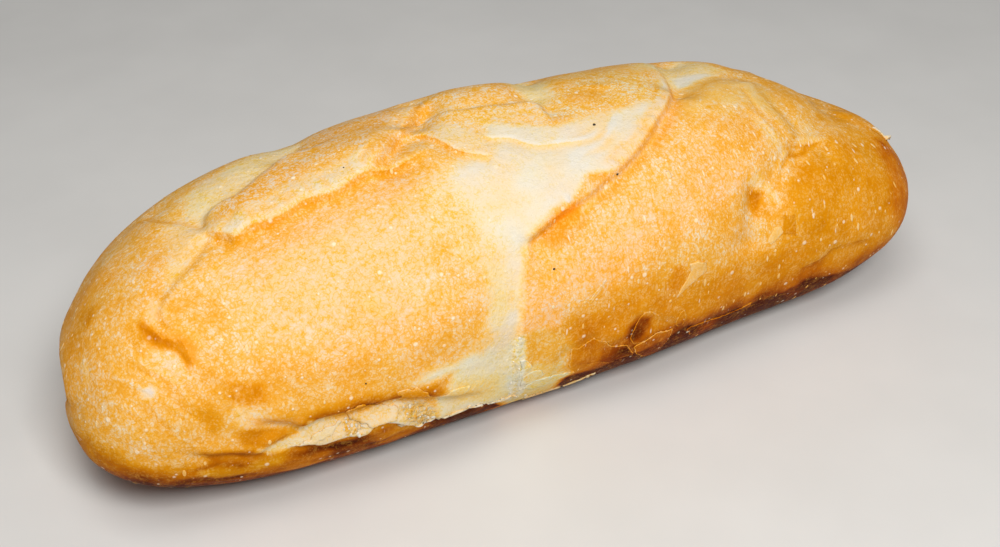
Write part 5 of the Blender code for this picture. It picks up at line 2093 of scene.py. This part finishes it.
@dataclass
class Studio:
    """A pale floor, soft light and the camera at the photograph's angle."""

    azimuth: float = -31.0
    elevation: float = 37.0
    distance: float = 0.46
    lens: float = 50.0
    sensor: float = 36.0
    target: tuple[float, float, float] = (-0.0054, -0.0046, 0.027)
    lit_point: tuple[float, float, float] = (0.0, 0.0, 0.04)
    floor_size: float = 4.0
    floor_drop: float = 0.0002
    sky: float = 0.12
    lamps: tuple[Lamp, ...] = (
        Lamp("key", -12.0, 49.0, 0.95, 0.3, 6.6),
        Lamp("top", -50.0, 72.0, 0.93, 0.5, 3.1),
    )

    def build(self) -> None:
        """Set up the whole studio."""
        self.add_floor()
        for lamp in self.lamps:
            self.add_lamp(lamp)
        world = bpy.data.worlds.new("studio")
        world.use_nodes = True
        sky = world.node_tree.nodes["Background"].inputs
        sky["Color"].default_value = (1.0, 1.0, 1.0, 1.0)
        sky["Strength"].default_value = self.sky
        bpy.context.scene.world = world
        bpy.context.scene.view_settings.view_transform = "Standard"
        self.add_camera()
        LOG.info("studio: %d lamps", len(self.lamps))

    def add_floor(self) -> None:
        """The floor, under the loaf."""
        half = self.floor_size / 2
        corners = [(x * half, y * half, -self.floor_drop) for x, y in ((-1, -1), (1, -1), (1, 1), (-1, 1))]
        mesh = bpy.data.meshes.new("floor")
        mesh.from_pydata(corners, [], [(0, 1, 2, 3)])
        mesh.materials.append(FloorFinish().material())
        link("floor", mesh)

    def add_lamp(self, lamp: Lamp) -> None:
        """One soft light.

        Args:
            lamp: The light.
        """
        light = bpy.data.lights.new(lamp.name, "AREA")
        light.size = lamp.size
        light.energy = lamp.power
        back = towards(lamp.azimuth, lamp.elevation)
        self.place(bpy.data.objects.new(lamp.name, light), Vector(self.lit_point), back, lamp.distance)

    def add_camera(self) -> None:
        """The camera, as the photograph was taken."""
        data = bpy.data.cameras.new("camera")
        data.lens = self.lens
        data.sensor_width = self.sensor
        camera = bpy.data.objects.new("camera", data)
        self.place(camera, Vector(self.target), towards(self.azimuth, self.elevation), self.distance)
        bpy.context.scene.camera = camera

    @staticmethod
    def place(made: bpy.types.Object, aim: Vector, back: Vector, distance: float) -> None:
        """Put a light or a camera at a distance from what it faces.

        Args:
            made: The light or the camera.
            aim: The point that it faces.
            back: The direction from that point to it.
            distance: How far off it is, in metres.
        """
        made.location = aim + back * distance
        made.rotation_euler = back.to_track_quat("Z", "Y").to_euler()
        bpy.context.scene.collection.objects.link(made)


def main() -> None:
    """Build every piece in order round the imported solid."""
    logging.basicConfig(level=logging.INFO, format="%(name)s: %(message)s")
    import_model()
    Studio().build()
    maker = Crust(Form(), Thinning.FULL)
    crust = maker.build()
    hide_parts("loaf")
    flakes = Flakes().build(maker, crust)
    blisters = Scatter(
        "blisters", "blistering", BlisterFinish(), density=11000.0, smallest=0.18, largest=0.55, longest=3.2
    ).build(crust)
    crumbs = Scatter(
        "crumbs", "rough", CrumbFinish(), density=140000.0, smallest=0.2, largest=0.55,
        flatness=0.8, longest=1.5, uneven=0.5, paleness=0.2, seed=8,
    ).build(crust)
    specks = Specks().build(maker)
    for piece in (crust, flakes, blisters, crumbs, specks):
        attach(piece, "root")


if __name__ == "__main__":
    main()
